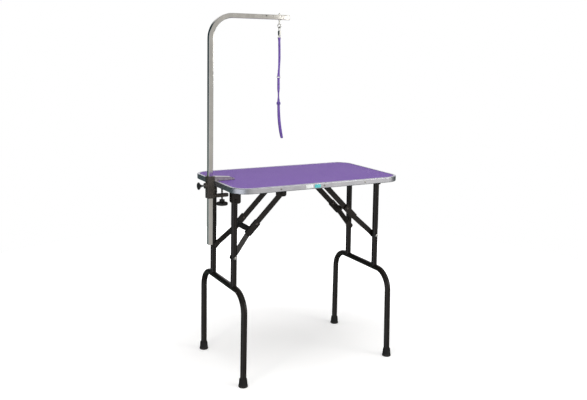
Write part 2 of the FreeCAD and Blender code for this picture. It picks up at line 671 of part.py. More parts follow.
def lower_jaw():
    root = ARM_X + SLEEVE_SIZE / 2 - 1
    z0, z1 = LOWER_JAW_HEIGHT - LOWER_JAW_THICKNESS / 2, LOWER_JAW_HEIGHT + LOWER_JAW_THICKNESS / 2
    radius = LOWER_JAW_WIDTH / 2
    bar = box(root, LOWER_JAW_END_X, ARM_Y - radius, ARM_Y + radius, z0, z1)
    nose = edges_along(bar, AXIS_Z, lambda p: p.x > LOWER_JAW_END_X - 1)
    bar = bar.makeFillet(radius - 0.5, nose)
    rims = [e for e in bar.Edges if e.BoundBox.ZLength < 1e-6 and e.BoundBox.XMax > root + 1]
    bar = bar.makeFillet(2.5, rims)
    bar = fitted_to_sleeve(bar)
    bore = CLAMP_SCREW_DIAMETER + 2 * PIN_CLEARANCE
    return bar.cut(rod(bore, (CLAMP_SCREW_X, ARM_Y, z0 - 1), (CLAMP_SCREW_X, ARM_Y, z1 + 1)))


def clamp_pad():
    base = PAD_TOP - PAD_THICKNESS
    radius = PAD_RADIUS
    profile = [(0, 0), (radius - 1, 0), (radius, 1), (radius, PAD_THICKNESS - 0.8),
               (radius - 0.8, PAD_THICKNESS), (0, PAD_THICKNESS)]
    pad = turned(profile, (CLAMP_SCREW_X, ARM_Y, base), (0, 0, 1))
    socket = rod(SCREW_TIP_DIAMETER + 2 * PIN_CLEARANCE, (CLAMP_SCREW_X, ARM_Y, base - 1),
                 (CLAMP_SCREW_X, ARM_Y, base + SOCKET_DEPTH))
    return pad.cut(socket)


def clamp_screw():
    base = PAD_TOP - PAD_THICKNESS
    thread = rod(CLAMP_SCREW_DIAMETER, (CLAMP_SCREW_X, ARM_Y, CLAMP_KNOB_BOTTOM + 8),
                 (CLAMP_SCREW_X, ARM_Y, base - 0.4))
    tip = rod(SCREW_TIP_DIAMETER, (CLAMP_SCREW_X, ARM_Y, base - 1),
              (CLAMP_SCREW_X, ARM_Y, base + SOCKET_DEPTH - REST_GAP))
    return thread.fuse(tip).removeSplitter()


def lobed_disc(radius, lobes, z0, z1):
    """A disc about the Z axis with rounded hollows between its lobes."""
    disc = Part.makeCylinder(radius, z1 - z0, V(0, 0, z0))
    bite = radius * 1.05 * math.sin(math.pi / lobes) * 0.55
    hollows = []
    for k in range(lobes):
        turn = 2 * math.pi * (k + 0.5) / lobes
        place = V(radius * 1.08 * math.cos(turn), radius * 1.08 * math.sin(turn), z0 - 1)
        hollows.append(Part.makeCylinder(bite, z1 - z0 + 2, place))
    return disc.cut(hollows)


def knob(radius, lobes, rim_height, hub_radius, height, bore, bore_depth):
    """A lobed hand knob about the Z axis: crowned rim below, narrower hub above."""
    body = lobed_disc(radius, lobes, 0, height)
    envelope = turned([(0, 0.6), (radius * 0.55, 0), (radius * 0.9, 0.9), (radius, 3.0),
                       (radius, rim_height - 2.5), (radius * 0.88, rim_height),
                       (hub_radius * 1.25, rim_height + 2.0), (hub_radius, rim_height + 5.0),
                       (hub_radius, height), (0, height)], (0, 0, 0), (0, 0, 1))
    return body.common(envelope).cut(rod(bore, (0, 0, height - bore_depth), (0, 0, height + 1)))


def clamp_knob():
    height = CLAMP_KNOB_TOP - CLAMP_KNOB_BOTTOM
    star = knob(CLAMP_KNOB_DIAMETER / 2, 6, 12.0, 10.5, height, CLAMP_SCREW_DIAMETER, height - 8)
    return moved(star, CLAMP_SCREW_X, ARM_Y, CLAMP_KNOB_BOTTOM)


def lock_tip():
    """A brass shoe that bears on the arm so that the screw doesn't score it."""
    end = LOCK_TIP_X - LOCK_TIP_LENGTH
    return leaned(rod(SCREW_TIP_DIAMETER + 1.6, (LOCK_TIP_X, ARM_Y, LOCK_HEIGHT), (end, ARM_Y, LOCK_HEIGHT)))


def lock_screw():
    start = LOCK_TIP_X - LOCK_TIP_LENGTH - REST_GAP
    end = LOCK_KNOB_OUTER_X + 3
    return leaned(rod(CLAMP_SCREW_DIAMETER, (start, ARM_Y, LOCK_HEIGHT), (end, ARM_Y, LOCK_HEIGHT)))


def lock_knob():
    height = LOCK_KNOB_INNER_X - LOCK_KNOB_OUTER_X
    star = knob(LOCK_KNOB_DIAMETER / 2, 6, 7.5, 6.0, height, CLAMP_SCREW_DIAMETER, height - 3)
    star.rotate(ORIGIN, AXIS_Y, 90)
    return leaned(moved(star, LOCK_KNOB_OUTER_X, ARM_Y, LOCK_HEIGHT))


# ---------------------------------------------------------------- arm

def square_outline(size, corner, x, y, z):
    """A horizontal rounded square, as a wire."""
    slab = rounded_slab(size, size, corner, 0, 1)
    face = [f for f in slab.Faces if abs(f.CenterOfMass.z) < 1e-6 and f.BoundBox.ZLength < 1e-6][0]
    wire = face.OuterWire.copy()
    wire.translate(V(x, y, z))
    return wire


def arm_outline(size, corner):
    """The arm's section at its lower end, square to the leaning post."""
    start = V(post_x(ARM_BOTTOM), ARM_Y, ARM_BOTTOM)
    wire = square_outline(size, corner, start.x, start.y, start.z)
    wire.rotate(start, AXIS_Y, ARM_LEAN)
    return wire


def arm_tube():
    corners = [(post_x(ARM_BOTTOM), ARM_Y, ARM_BOTTOM), (post_x(ARM_BAR_HEIGHT), ARM_Y, ARM_BAR_HEIGHT),
               (ARM_END_X, ARM_Y, ARM_BAR_HEIGHT)]
    path = bent_path(corners, [ARM_BEND_RADIUS])
    outer = pipe(path, arm_outline(ARM_SIZE, ARM_CORNER))
    inner = pipe(path, arm_outline(ARM_SIZE - 2 * ARM_WALL, ARM_CORNER - 1))
    reach = ARM_SIZE
    eyebolt_hole = rod(EYEBOLT_DIAMETER, (EYEBOLT_X, ARM_Y, ARM_BAR_HEIGHT - reach),
                       (EYEBOLT_X, ARM_Y, ARM_BAR_HEIGHT + reach))
    spare_height = ARM_BAR_HEIGHT + SPARE_HOLE_RISE
    spare = rod(SPARE_HOLE_DIAMETER, (SPARE_HOLE_X, ARM_Y - reach, spare_height),
                (SPARE_HOLE_X, ARM_Y + reach, spare_height))
    return outer.cut([inner, eyebolt_hole, spare])


def arm_end_cap():
    size = ARM_SIZE - 2 * ARM_WALL - 0.1
    plug = rounded_slab(size, size, ARM_CORNER - 1, -12.0, 0)
    lid = rounded_slab(ARM_SIZE, ARM_SIZE, ARM_CORNER, 0, 2.5)
    top = [e for e in lid.Edges if e.BoundBox.ZLength < 1e-6 and e.BoundBox.ZMin > 1]
    cap = plug.fuse(lid.makeFillet(1.0, top))
    cap.rotate(ORIGIN, AXIS_Y, 90)
    return moved(cap, ARM_END_X, ARM_Y, ARM_BAR_HEIGHT)


def eyebolt():
    ring = Part.makeTorus(EYE_RADIUS, EYE_WIRE / 2, V(EYEBOLT_X, ARM_Y, EYE_HEIGHT), AXIS_Y)
    bar_bottom = ARM_BAR_HEIGHT - ARM_SIZE / 2
    bar_top = ARM_BAR_HEIGHT + ARM_SIZE / 2
    shank = rod(EYEBOLT_DIAMETER, (EYEBOLT_X, ARM_Y, EYE_HEIGHT + EYE_RADIUS),
                (EYEBOLT_X, ARM_Y, bar_top + 6.5))
    collar = rod(2 * EYEBOLT_DIAMETER, (EYEBOLT_X, ARM_Y, bar_bottom - 2.0), (EYEBOLT_X, ARM_Y, bar_bottom))
    return ring.fuse([shank, collar]).removeSplitter()


def eyebolt_nut():
    return hex_nut(EYEBOLT_DIAMETER, (EYEBOLT_X, ARM_Y, ARM_BAR_HEIGHT + ARM_SIZE / 2), (0, 0, 1))


# ---------------------------------------------------------------- snap hook and noose

def snap_hook():
    """Hook, barrel and the slot of its sliding bolt."""
    centre = HOOK_TOP - HOOK_LOOP_RADIUS
    y_back = ARM_Y - HOOK_LOOP_RADIUS
    foot = V(EYEBOLT_X, y_back, HOOK_BODY_TOP - 2)
    rise = V(EYEBOLT_X, y_back, centre)
    fall = V(EYEBOLT_X, BOLT_Y, centre)
    path = [Part.LineSegment(foot, rise).toShape(),
            Part.Arc(rise, V(EYEBOLT_X, ARM_Y, HOOK_TOP), fall).toShape(),
            Part.LineSegment(fall, V(EYEBOLT_X, BOLT_Y, BOLT_TOP + 0.4)).toShape()]
    wire = pipe(path, Part.Circle(foot, AXIS_Z, HOOK_WIRE / 2).toShape())
    barrel = rounded_slab(7.0, 2 * HOOK_LOOP_RADIUS + 4.5, 3.2, HOOK_BODY_BOTTOM, HOOK_BODY_TOP)
    rims = [e for e in barrel.Edges if e.BoundBox.ZLength < 1e-6]
    barrel = moved(barrel.makeFillet(1.2, rims), EYEBOLT_X, ARM_Y, 0)
    bore = rod(BOLT_WIRE + 2 * PIN_CLEARANCE, (EYEBOLT_X, BOLT_Y, HOOK_BODY_BOTTOM + 2),
               (EYEBOLT_X, BOLT_Y, HOOK_BODY_TOP + 1))
    slot = box(EYEBOLT_X - 1.7, EYEBOLT_X + 1.7, BOLT_Y, BOLT_Y + 4,
               HOOK_BODY_BOTTOM + 5, TRIGGER_HEIGHT + 2)
    pin = rod(SWIVEL_PIN + 2 * PIN_CLEARANCE, (EYEBOLT_X, ARM_Y, HOOK_BODY_BOTTOM - 1),
              (EYEBOLT_X, ARM_Y, HOOK_BODY_BOTTOM + 6))
    return wire.fuse(barrel).cut([bore, slot, pin])


def snap_bolt():
    slide = rod(BOLT_WIRE, (EYEBOLT_X, BOLT_Y, BOLT_BOTTOM), (EYEBOLT_X, BOLT_Y, BOLT_TOP))
    stem = rod(2.4, (EYEBOLT_X, BOLT_Y, TRIGGER_HEIGHT), (EYEBOLT_X, BOLT_Y + 4.6, TRIGGER_HEIGHT))
    thumb = rod(4.4, (EYEBOLT_X, BOLT_Y + 2.8, TRIGGER_HEIGHT), (EYEBOLT_X, BOLT_Y + 4.6, TRIGGER_HEIGHT))
    return slide.fuse([stem, thumb]).removeSplitter()


def wire_frame(width, height, radius, wire, x, y, z):
    """A closed rounded rectangle of round wire in an upright plane along X."""
    w, h = width / 2 - wire / 2, height / 2 - wire / 2
    corners = [(0, -h), (w, -h), (w, h), (-w, h), (-w, -h), (0, -h)]
    points = [(x + u, y, z + v) for u, v in corners]
    path = bent_path(points, [radius] * 4)
    outline = Part.Circle(V(*points[0]), AXIS_X, wire / 2).toShape()
    return pipe(path, outline)


def swivel_eye():
    """The strap's eye with the pin that turns in the hook's barrel."""
    loop = wire_frame(SWIVEL_EYE_WIDTH, SWIVEL_EYE_TALL, 2.6, SWIVEL_EYE_WIRE,
                      EYEBOLT_X, ARM_Y, SWIVEL_EYE_HEIGHT)
    top = SWIVEL_EYE_HEIGHT + SWIVEL_EYE_TALL / 2 - SWIVEL_EYE_WIRE / 2
    pin = rod(SWIVEL_PIN, (EYEBOLT_X, ARM_Y, top), (EYEBOLT_X, ARM_Y, HOOK_BODY_BOTTOM + 5.6))
    collar = rod(7.0, (EYEBOLT_X, ARM_Y, HOOK_BODY_BOTTOM - 3.0), (EYEBOLT_X, ARM_Y, HOOK_BODY_BOTTOM - 0.3))
    return loop.fuse([pin, collar])


def strap(route, label):
    """A flat strap along a hand-laid route, its width kept along X; prints its bend radii."""
    points = [V(*p) for p in route]
    radii = []
    for before, corner, after in zip(points, points[1:], points[2:]):
        turn = (corner - before).getAngle(after - corner)
        run = min((corner - before).Length, (after - corner).Length)
        radii.append(0.45 * run / math.tan(turn / 2))
    edges = bent_path(route, radii)
    spine = Part.Wire(edges)
    start = points[0]
    half_w, half_t = STRAP_WIDTH / 2, STRAP_THICKNESS / 2
    along = (points[1] - points[0]).normalize()
    across = AXIS_X - along * AXIS_X.dot(along)
    across = across.normalize()
    thick = along.cross(across)
    corners = [start + across * (a * half_w) + thick * (b * half_t)
               for a, b in ((-1, -1), (1, -1), (1, 1), (-1, 1))]
    outline = Part.makePolygon(corners + corners[:1])
    sweep = Part.BRepOffsetAPI.MakePipeShell(spine)
    sweep.setBiNormalMode(AXIS_X)
    sweep.add(outline)
    sweep.build()
    sweep.makeSolid()
    solid = sweep.shape()
    share = solid.Volume / (spine.Length * STRAP_WIDTH * STRAP_THICKNESS)
    print(label, "length", round(spine.Length, 1), "volume ratio", round(share, 3),
          "radii", [round(r, 1) for r in radii])
    return solid


def noose_ring():
    return wire_frame(RING_WIDTH, RING_TALL, 4.0, RING_WIRE, LEADER_ROUTE[-1][0], ARM_Y, RING_HEIGHT)


def noose_slider():
    """A slotted bead on both strands of the loop."""
    width, depth, height = SLIDER_SIZE
    x, _, z = LOOP_ROUTE[SLIDER_POINT]
    bead = box(-width / 2, width / 2, -depth / 2, depth / 2, -height / 2, height / 2)
    bead = bead.makeFillet(1.4, bead.Edges)
    slot_width, slot_depth = SLIDER_SLOT
    slot = box(-slot_width / 2, slot_width / 2, -slot_depth / 2, slot_depth / 2, -height, height)
    return moved(bead.cut(slot), x, ARM_Y, z)


# ---------------------------------------------------------------- the assembly

def top_pieces():
    rivets = trim_rivets()
    nodes = {}
    all_screws = []
    all_bolts = []
    for side in SIDES:
        for end in ENDS:
            plates, screws, bolts = bracket_set(side, end)
            nodes[f"{side}_hinge_bracket_{end}"] = plates["hinge"]
            nodes[f"{side}_brace_bracket_{end}"] = plates["brace"]
            all_screws += screws
            all_bolts += bolts
    nodes["top_board"] = board(rivets + all_screws)
    nodes["top_mat"] = mat()
    nodes["edge_trim"] = edge_trim(rivets)
    nodes["trim_rivets"] = group(rivets)
    nodes["bracket_screws"] = group(all_screws)
    nodes["pivot_bolts"] = group(all_bolts)
    return nodes


def leg_pieces():
    nodes = {}
    for side in SIDES:
        bolts = []
        nodes[f"{side}_floor_bow"] = mirrored(place_leg(floor_bow(side), side), side, "rear")
        for end in ENDS:
            nodes[f"{side}_upright_{end}"] = mirrored(place_leg(upright(side), side), side, end)
            nodes[f"{side}_foot_{end}"] = mirrored(foot(side), side, end)
            bolts.append(mirrored(place_leg(leg_bolt(side), side), side, end))
        nodes[f"{side}_leg_bolts"] = group(bolts)
    return nodes


def brace_pieces():
    nodes = {}
    for side in SIDES:
        rivets = []
        nodes[f"{side}_knee_bridge"] = mirrored(place_brace(knee_bridge(side), side), side, "rear")
        for end in ENDS:
            nodes[f"{side}_upper_link_{end}"] = mirrored(place_brace(upper_link(side), side), side, end)
            nodes[f"{side}_lower_link_{end}"] = mirrored(place_brace(lower_link(side), side), side, end)
            rivets.append(mirrored(place_brace(knee_rivet(side), side), side, end))
        nodes[f"{side}_knee_rivets"] = group(rivets)
    return nodes


def arm_pieces():
    return {
        "clamp_sleeve": sleeve(),
        "clamp_top_jaw": top_jaw(),
        "clamp_lower_jaw": lower_jaw(),
        "clamp_bosses": group(clamp_bosses()),
        "clamp_pad": clamp_pad(),
        "clamp_screw": clamp_screw(),
        "clamp_knob": clamp_knob(),
        "lock_tip": lock_tip(),
        "lock_screw": lock_screw(),
        "lock_knob": lock_knob(),
        "arm_tube": arm_tube(),
        "arm_end_cap": arm_end_cap(),
        "eyebolt": eyebolt(),
        "eyebolt_nut": eyebolt_nut(),
        "snap_hook": snap_hook(),
        "snap_bolt": snap_bolt(),
        "swivel_eye": swivel_eye(),
        "noose_leader": strap(LEADER_ROUTE, "leader"),
        "noose_loop": strap(LOOP_ROUTE, "loop"),
        "noose_ring": noose_ring(),
        "noose_slider": noose_slider()}


def main():
    os.makedirs("parts", exist_ok=True)
    nodes = {}
    for pieces in (top_pieces(), leg_pieces(), brace_pieces(), arm_pieces()):
        nodes.update(pieces)
    for name, shape in nodes.items():
        shape = shape.copy()
        shape.translate(ORIGIN_SHIFT)
        if not shape.isValid():
            print("not valid:", name)
        shape.exportStep(f"parts/{name}.step")
    print(len(nodes), "nodes, origin shift", ORIGIN_SHIFT)


main()
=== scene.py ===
"""A folding grooming table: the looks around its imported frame.  Metres, +Z up."""
import json
import math
import random

import bmesh
import bpy
from mathutils import Matrix, Vector


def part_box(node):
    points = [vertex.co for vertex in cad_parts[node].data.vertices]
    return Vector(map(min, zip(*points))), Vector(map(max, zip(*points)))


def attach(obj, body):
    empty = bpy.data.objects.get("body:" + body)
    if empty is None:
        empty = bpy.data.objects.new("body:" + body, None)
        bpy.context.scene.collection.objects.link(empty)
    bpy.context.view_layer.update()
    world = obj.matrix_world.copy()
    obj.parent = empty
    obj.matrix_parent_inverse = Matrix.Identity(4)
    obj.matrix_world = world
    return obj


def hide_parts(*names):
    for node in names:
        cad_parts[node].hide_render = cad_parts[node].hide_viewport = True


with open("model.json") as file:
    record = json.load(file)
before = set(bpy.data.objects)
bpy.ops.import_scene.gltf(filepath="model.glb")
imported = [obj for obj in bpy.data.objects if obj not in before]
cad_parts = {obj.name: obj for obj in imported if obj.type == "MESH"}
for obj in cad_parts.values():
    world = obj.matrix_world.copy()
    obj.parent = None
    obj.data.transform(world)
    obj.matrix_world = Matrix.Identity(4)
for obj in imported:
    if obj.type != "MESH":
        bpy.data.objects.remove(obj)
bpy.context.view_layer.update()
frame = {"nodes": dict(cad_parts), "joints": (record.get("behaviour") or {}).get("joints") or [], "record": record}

# ---- places taken from the frame ----
TRIM_LOW, TRIM_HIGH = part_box("edge_trim")
TABLE_X = (TRIM_LOW.x + TRIM_HIGH.x) / 2          # the middle of the table top
JOINTS = {joint["name"]: joint for joint in frame["joints"]}
MOUNTS = {mount["name"]: mount for mount in frame["record"]["mounts"]}

# ---- driving sizes ----
MM = 0.001
TUBE_RADIUS = 12.5 * MM
SCREW_RADIUS = 4.0 * MM
SCREW_TIP_RADIUS = 3.0 * MM
SCREW_TIP_LENGTH = 3.7 * MM
SCREW_TIP_TAPER = 0.5 * MM
THREAD_PITCH = 1.25 * MM
THREAD_DEPTH = 0.55 * MM
SLEEVE_SIZE = 30.0 * MM
BOSS_RADIUS = 11.5 * MM
FRAME_WELD_SIZE = 3.4 * MM
CLAMP_WELD_SIZE = 2.6 * MM
CLAMP_WELD_INSET = 1.0 * MM
LABEL_THICKNESS = 0.35 * MM
LABEL_CORNER = 2.5 * MM
LABEL_SHARE_OF_TRIM = 0.66                        # a label's height over the trim's
PALE_LABEL = (-67.0 * MM, 32.0 * MM)              # its middle along the table top, and its width
CYAN_LABEL = (-31.0 * MM, 27.0 * MM)

# ---- the strap ----
STRAP_WIDTH = 9.5 * MM
STRAP_THICKNESS = 1.7 * MM
FOLD_THICKNESS = 0.9 * STRAP_THICKNESS
STRAP_STEP = 1.5 * MM                             # between the sections of a swept strap
FOLD_STEP = 0.5 * MM
FOLD_FRONT_Y = -7.5                               # middle of a fold's sewn end, in millimetres
EYE_SEAM = (1335.5, 1346.0)                       # heights of the sewn squares, in millimetres
RING_SEAM = (1222.5, 1232.5)
SEAM_INSET = 1.4 * MM                             # from the strap's edges
# Where the loop turns, as shares of the way from its ring down to its bottom.
TWIST_START, TWIST_END = 0.16, 0.38               # between the slider's top stop and the slider
LOWER_TWIST_START = 0.46                          # below the slider

# Its routes, about the middle of the table top, in millimetres.
LEADER_ROUTE = [(-94.0, -6.0, 1357.0), (-92.2, -6.0, 1304.0), (-92.6, -6.0, 1254.0), (-95.4, -6.0, 1211.5)]
LOOP_ROUTE = [
    (-95.4, -7.6, 1198.5), (-95.0, -8.4, 1160.0), (-94.2, -8.3, 1100.0), (-92.0, -8.7, 1040.0),
    (-84.8, -9.3, 990.0), (-77.2, -8.6, 957.5),
    (-77.2, -3.4, 957.5), (-84.8, -2.7, 990.0),
    (-92.0, -3.3, 1040.0), (-94.2, -3.7, 1100.0), (-95.0, -3.6, 1160.0), (-95.4, -4.4, 1198.5)]


# ---------------------------------------------------------------- shader helpers

def add(tree, kind, values=None, **settings):
    """A new node; values are numbers, colours or other nodes' outputs for its inputs."""
    node = tree.nodes.new("ShaderNode" + kind)
    for key, value in settings.items():
        setattr(node, key, value)
    for key, value in (values or {}).items():
        if isinstance(value, bpy.types.NodeSocket):
            tree.links.new(value, node.inputs[key])
        else:
            node.inputs[key].default_value = value
    return node


def new_material(name, **values):
    """A principled material with its constant values set on the shader's own sockets."""
    material = bpy.data.materials.new(name)
    material.use_nodes = True
    shader = material.node_tree.nodes["Principled BSDF"]
    for key, value in values.items():
        shader.inputs[key.replace("_", " ")].default_value = value
    return material, material.node_tree, shader


def place(tree, scale=(1, 1, 1)):
    """The piece's own coordinates, in metres, stretched by scale."""
    source = add(tree, "TexCoord")
    return add(tree, "Mapping", {"Vector": source.outputs["Object"], "Scale": scale}).outputs["Vector"]


def noise(tree, where, scale, detail=3.0, rough=0.5):
    return add(tree, "TexNoise", {"Vector": where, "Scale": scale, "Detail": detail,
                                  "Roughness": rough}).outputs["Fac"]


def spread(tree, value, low, high, new_low=0.0, new_high=1.0):
    """The value's stretch from low to high, as new_low to new_high, and held beyond them."""
    return add(tree, "MapRange", {"Value": value, "From Min": low, "From Max": high,
                                  "To Min": new_low, "To Max": new_high}).outputs["Result"]


def blend_colours(tree, share, first, second):
    node = tree.nodes.new("ShaderNodeMix")
    node.data_type = "RGBA"
    for socket, value in ((node.inputs[0], share), (node.inputs[6], first), (node.inputs[7], second)):
        if isinstance(value, bpy.types.NodeSocket):
            tree.links.new(value, socket)
        elif socket is node.inputs[0]:
            socket.default_value = value
        else:
            socket.default_value = (*value, 1)
    return node.outputs[2]


def maths(tree, operation, first, second=0.0):
    return add(tree, "Math", {0: first, 1: second}, operation=operation).outputs[0]


def bump(tree, shader, height, strength, distance):
    node = add(tree, "Bump", {"Height": height, "Strength": strength, "Distance": distance})
    tree.links.new(node.outputs["Normal"], shader.inputs["Normal"])


def feed(tree, shader, name, value):
    tree.links.new(value, shader.inputs[name])


# ---------------------------------------------------------------- materials

def mat_vinyl():
    """Purple vinyl with a fine pebbled grain, and painted shade in the hollows between the pebbles."""
    material, tree, shader = new_material("mat_vinyl", Specular_IOR_Level=0.42)
    where = place(tree)
    pebbles = add(tree, "TexVoronoi", {"Vector": where, "Scale": 380.0, "Randomness": 0.9},
                  feature="SMOOTH_F1").outputs["Distance"]
    crowns = spread(tree, pebbles, 0.1, 0.75, 1.0, 0.0)
    broad = noise(tree, where, 9.0, 4.0)
    mottle = noise(tree, where, 140.0, 4.0, 0.7)
    tone = blend_colours(tree, spread(tree, mottle, 0.34, 0.66), (0.095, 0.040, 0.235), (0.168, 0.084, 0.325))
    # Painted shade: the hollows between the pebbles are darkened towards deep purple.
    tone = blend_colours(tree, spread(tree, crowns, 0.0, 0.45, 0.45, 0.0), tone, (0.045, 0.016, 0.14))
    tone = blend_colours(tree, spread(tree, broad, 0.35, 0.7, 0.0, 0.25), tone, (0.155, 0.084, 0.30))
    feed(tree, shader, "Base Color", tone)
    feed(tree, shader, "Roughness", spread(tree, mottle, 0.3, 0.7, 0.52, 0.68))
    height = maths(tree, "ADD", crowns, maths(tree, "MULTIPLY", mottle, 0.5))
    bump(tree, shader, height, 0.6, 0.0005)
    return material


def satin_aluminium():
    """Extruded, satin anodised edge trim: fine draw lines, cloudy patches and specks of grime."""
    material, tree, shader = new_material("satin_aluminium", Metallic=1.0)
    drawn = noise(tree, place(tree, (6, 6, 2600)), 1.0, 4.0, 0.6)
    cloudy = noise(tree, place(tree), 14.0, 5.0, 0.6)
    speck = noise(tree, place(tree), 420.0, 2.0)
    tone = blend_colours(tree, spread(tree, cloudy, 0.3, 0.7), (0.595, 0.605, 0.655), (0.735, 0.74, 0.79))
    tone = blend_colours(tree, spread(tree, speck, 0.62, 0.74, 0.0, 0.35), tone, (0.42, 0.42, 0.42))
    feed(tree, shader, "Base Color", tone)
    streaky = maths(tree, "ADD", maths(tree, "MULTIPLY", drawn, 0.22), 0.24)
    feed(tree, shader, "Roughness", maths(tree, "ADD", streaky, maths(tree, "MULTIPLY", cloudy, 0.12)))
    bump(tree, shader, drawn, 0.18, 0.0002)
    return material


def chrome():
    """Bright chrome on the arm: long polish lines and faint smears."""
    material, tree, shader = new_material("chrome", Metallic=1.0)
    lines = noise(tree, place(tree, (1500, 1500, 14)), 1.0, 3.0)
    smears = noise(tree, place(tree), 22.0, 5.0, 0.65)
    tone = blend_colours(tree, spread(tree, smears, 0.35, 0.7), (0.72, 0.71, 0.685), (0.80, 0.79, 0.765))
    feed(tree, shader, "Base Color", tone)
    rough = maths(tree, "ADD", spread(tree, smears, 0.35, 0.75, 0.07, 0.15),
                  spread(tree, lines, 0.45, 0.75, 0.0, 0.05))
    feed(tree, shader, "Roughness", rough)
    bump(tree, shader, lines, 0.04, 0.0001)
    return material


def plated_steel(name, dark, light, roughness, grain=900.0):
    """Zinc or nickel plate: slightly cloudy, with a fine grain."""
    material, tree, shader = new_material(name, Metallic=1.0)
    where = place(tree)
    cloudy = noise(tree, where, 60.0, 5.0, 0.65)
    fine = noise(tree, where, grain, 3.0)
    tone = blend_colours(tree, spread(tree, cloudy, 0.3, 0.7), dark, light)
    feed(tree, shader, "Base Color", tone)
    feed(tree, shader, "Roughness", spread(tree, fine, 0.3, 0.7, roughness - 0.06, roughness + 0.1))
    bump(tree, shader, fine, 0.1, 0.0002)
    return material


def black_powder_coat():
    """Semi-gloss black coat with an orange-peel skin, broad shifts of tone and brownish dust."""
    material, tree, shader = new_material("black_powder_coat", Specular_IOR_Level=0.30, Coat_Weight=0.06,
                                          Coat_Roughness=0.2)
    where = place(tree)
    peel = noise(tree, where, 520.0, 2.0, 0.4)
    broad = noise(tree, where, 11.0, 5.0, 0.6)
    dust = noise(tree, where, 260.0, 4.0, 0.75)
    tone = blend_colours(tree, spread(tree, broad, 0.3, 0.7), (0.0060, 0.0048, 0.0040),
                         (0.0125, 0.0095, 0.0078))
    tone = blend_colours(tree, spread(tree, dust, 0.63, 0.78, 0.0, 0.5), tone, (0.04, 0.034, 0.029))
    feed(tree, shader, "Base Color", tone)
    feed(tree, shader, "Roughness", maths(tree, "ADD", spread(tree, broad, 0.3, 0.7, 0.26, 0.40),
                                          spread(tree, dust, 0.5, 0.8, 0.0, 0.15)))
    bump(tree, shader, peel, 0.14, 0.0004)
    return material


def hammered_black():
    """Brown-black hammer paint of the clamp: shallow dimples with a dull shine."""
    material, tree, shader = new_material("hammered_black", Specular_IOR_Level=0.6)
    where = place(tree)
    dimples = add(tree, "TexVoronoi", {"Vector": where, "Scale": 330.0},
                  feature="SMOOTH_F1").outputs["Distance"]
    mottle = noise(tree, where, 210.0, 4.0, 0.7)
    tone = blend_colours(tree, spread(tree, mottle, 0.35, 0.68), (0.016, 0.013, 0.011), (0.085, 0.072, 0.060))
    feed(tree, shader, "Base Color", tone)
    feed(tree, shader, "Roughness", spread(tree, mottle, 0.3, 0.7, 0.30, 0.48))
    feed(tree, shader, "Metallic", spread(tree, mottle, 0.35, 0.7, 0.0, 0.55))
    bump(tree, shader, maths(tree, "ADD", dimples, maths(tree, "MULTIPLY", mottle, 0.3)), 0.35, 0.0006)
    return material


def jaw_paint():
    """The top jaw's smoother grey-brown coat, rubbed bright where it slides over tables."""
    material, tree, shader = new_material("jaw_paint", Specular_IOR_Level=0.7, Coat_Weight=0.5,
                                          Coat_Roughness=0.22)
    where = place(tree)
    mottle = noise(tree, where, 170.0, 5.0, 0.7)
    rubbed = noise(tree, where, 45.0, 4.0, 0.6)
    tone = blend_colours(tree, spread(tree, mottle, 0.32, 0.7), (0.16, 0.148, 0.15), (0.42, 0.39, 0.41))
    tone = blend_colours(tree, spread(tree, rubbed, 0.52, 0.75, 0.0, 0.6), tone, (0.62, 0.58, 0.61))
    feed(tree, shader, "Base Color", tone)
    feed(tree, shader, "Metallic", spread(tree, rubbed, 0.45, 0.8, 0.4, 0.85))
    feed(tree, shader, "Roughness", spread(tree, mottle, 0.3, 0.7, 0.32, 0.46))
    bump(tree, shader, mottle, 0.3, 0.0005)
    return material


def moulded_plastic(name, dark, light, roughness):
    """Moulded plastic with a spark-eroded skin and handling marks."""
    material, tree, shader = new_material(name)
    where = place(tree)
    skin = noise(tree, where, 1400.0, 2.0, 0.6)
    marks = noise(tree, where, 70.0, 5.0, 0.7)
    feed(tree, shader, "Base Color", blend_colours(tree, spread(tree, marks, 0.3, 0.75), dark, light))
    feed(tree, shader, "Roughness", spread(tree, marks, 0.3, 0.7, roughness - 0.07, roughness + 0.09))
    bump(tree, shader, skin, 0.2, 0.0002)
    return material


def foot_rubber():
    """Black rubber, dusty low down and scuffed."""
    material, tree, shader = new_material("foot_rubber", Specular_IOR_Level=0.3)
    where = place(tree)
    dust = noise(tree, where, 120.0, 5.0, 0.75)
    height = add(tree, "SeparateXYZ", {0: where}).outputs["Z"]
    low = spread(tree, height, 0.0, 0.014, 0.7, 0.0)
    share = maths(tree, "MULTIPLY", maths(tree, "ADD", spread(tree, dust, 0.5, 0.8, 0.0, 0.6), low), 0.6)
    tone = blend_colours(tree, share, (0.010, 0.0095, 0.0095), (0.055, 0.051, 0.049))
    feed(tree, shader, "Base Color", tone)
    feed(tree, shader, "Roughness", spread(tree, dust, 0.3, 0.7, 0.58, 0.8))
    bump(tree, shader, noise(tree, where, 900.0, 3.0), 0.25, 0.0003)
    return material


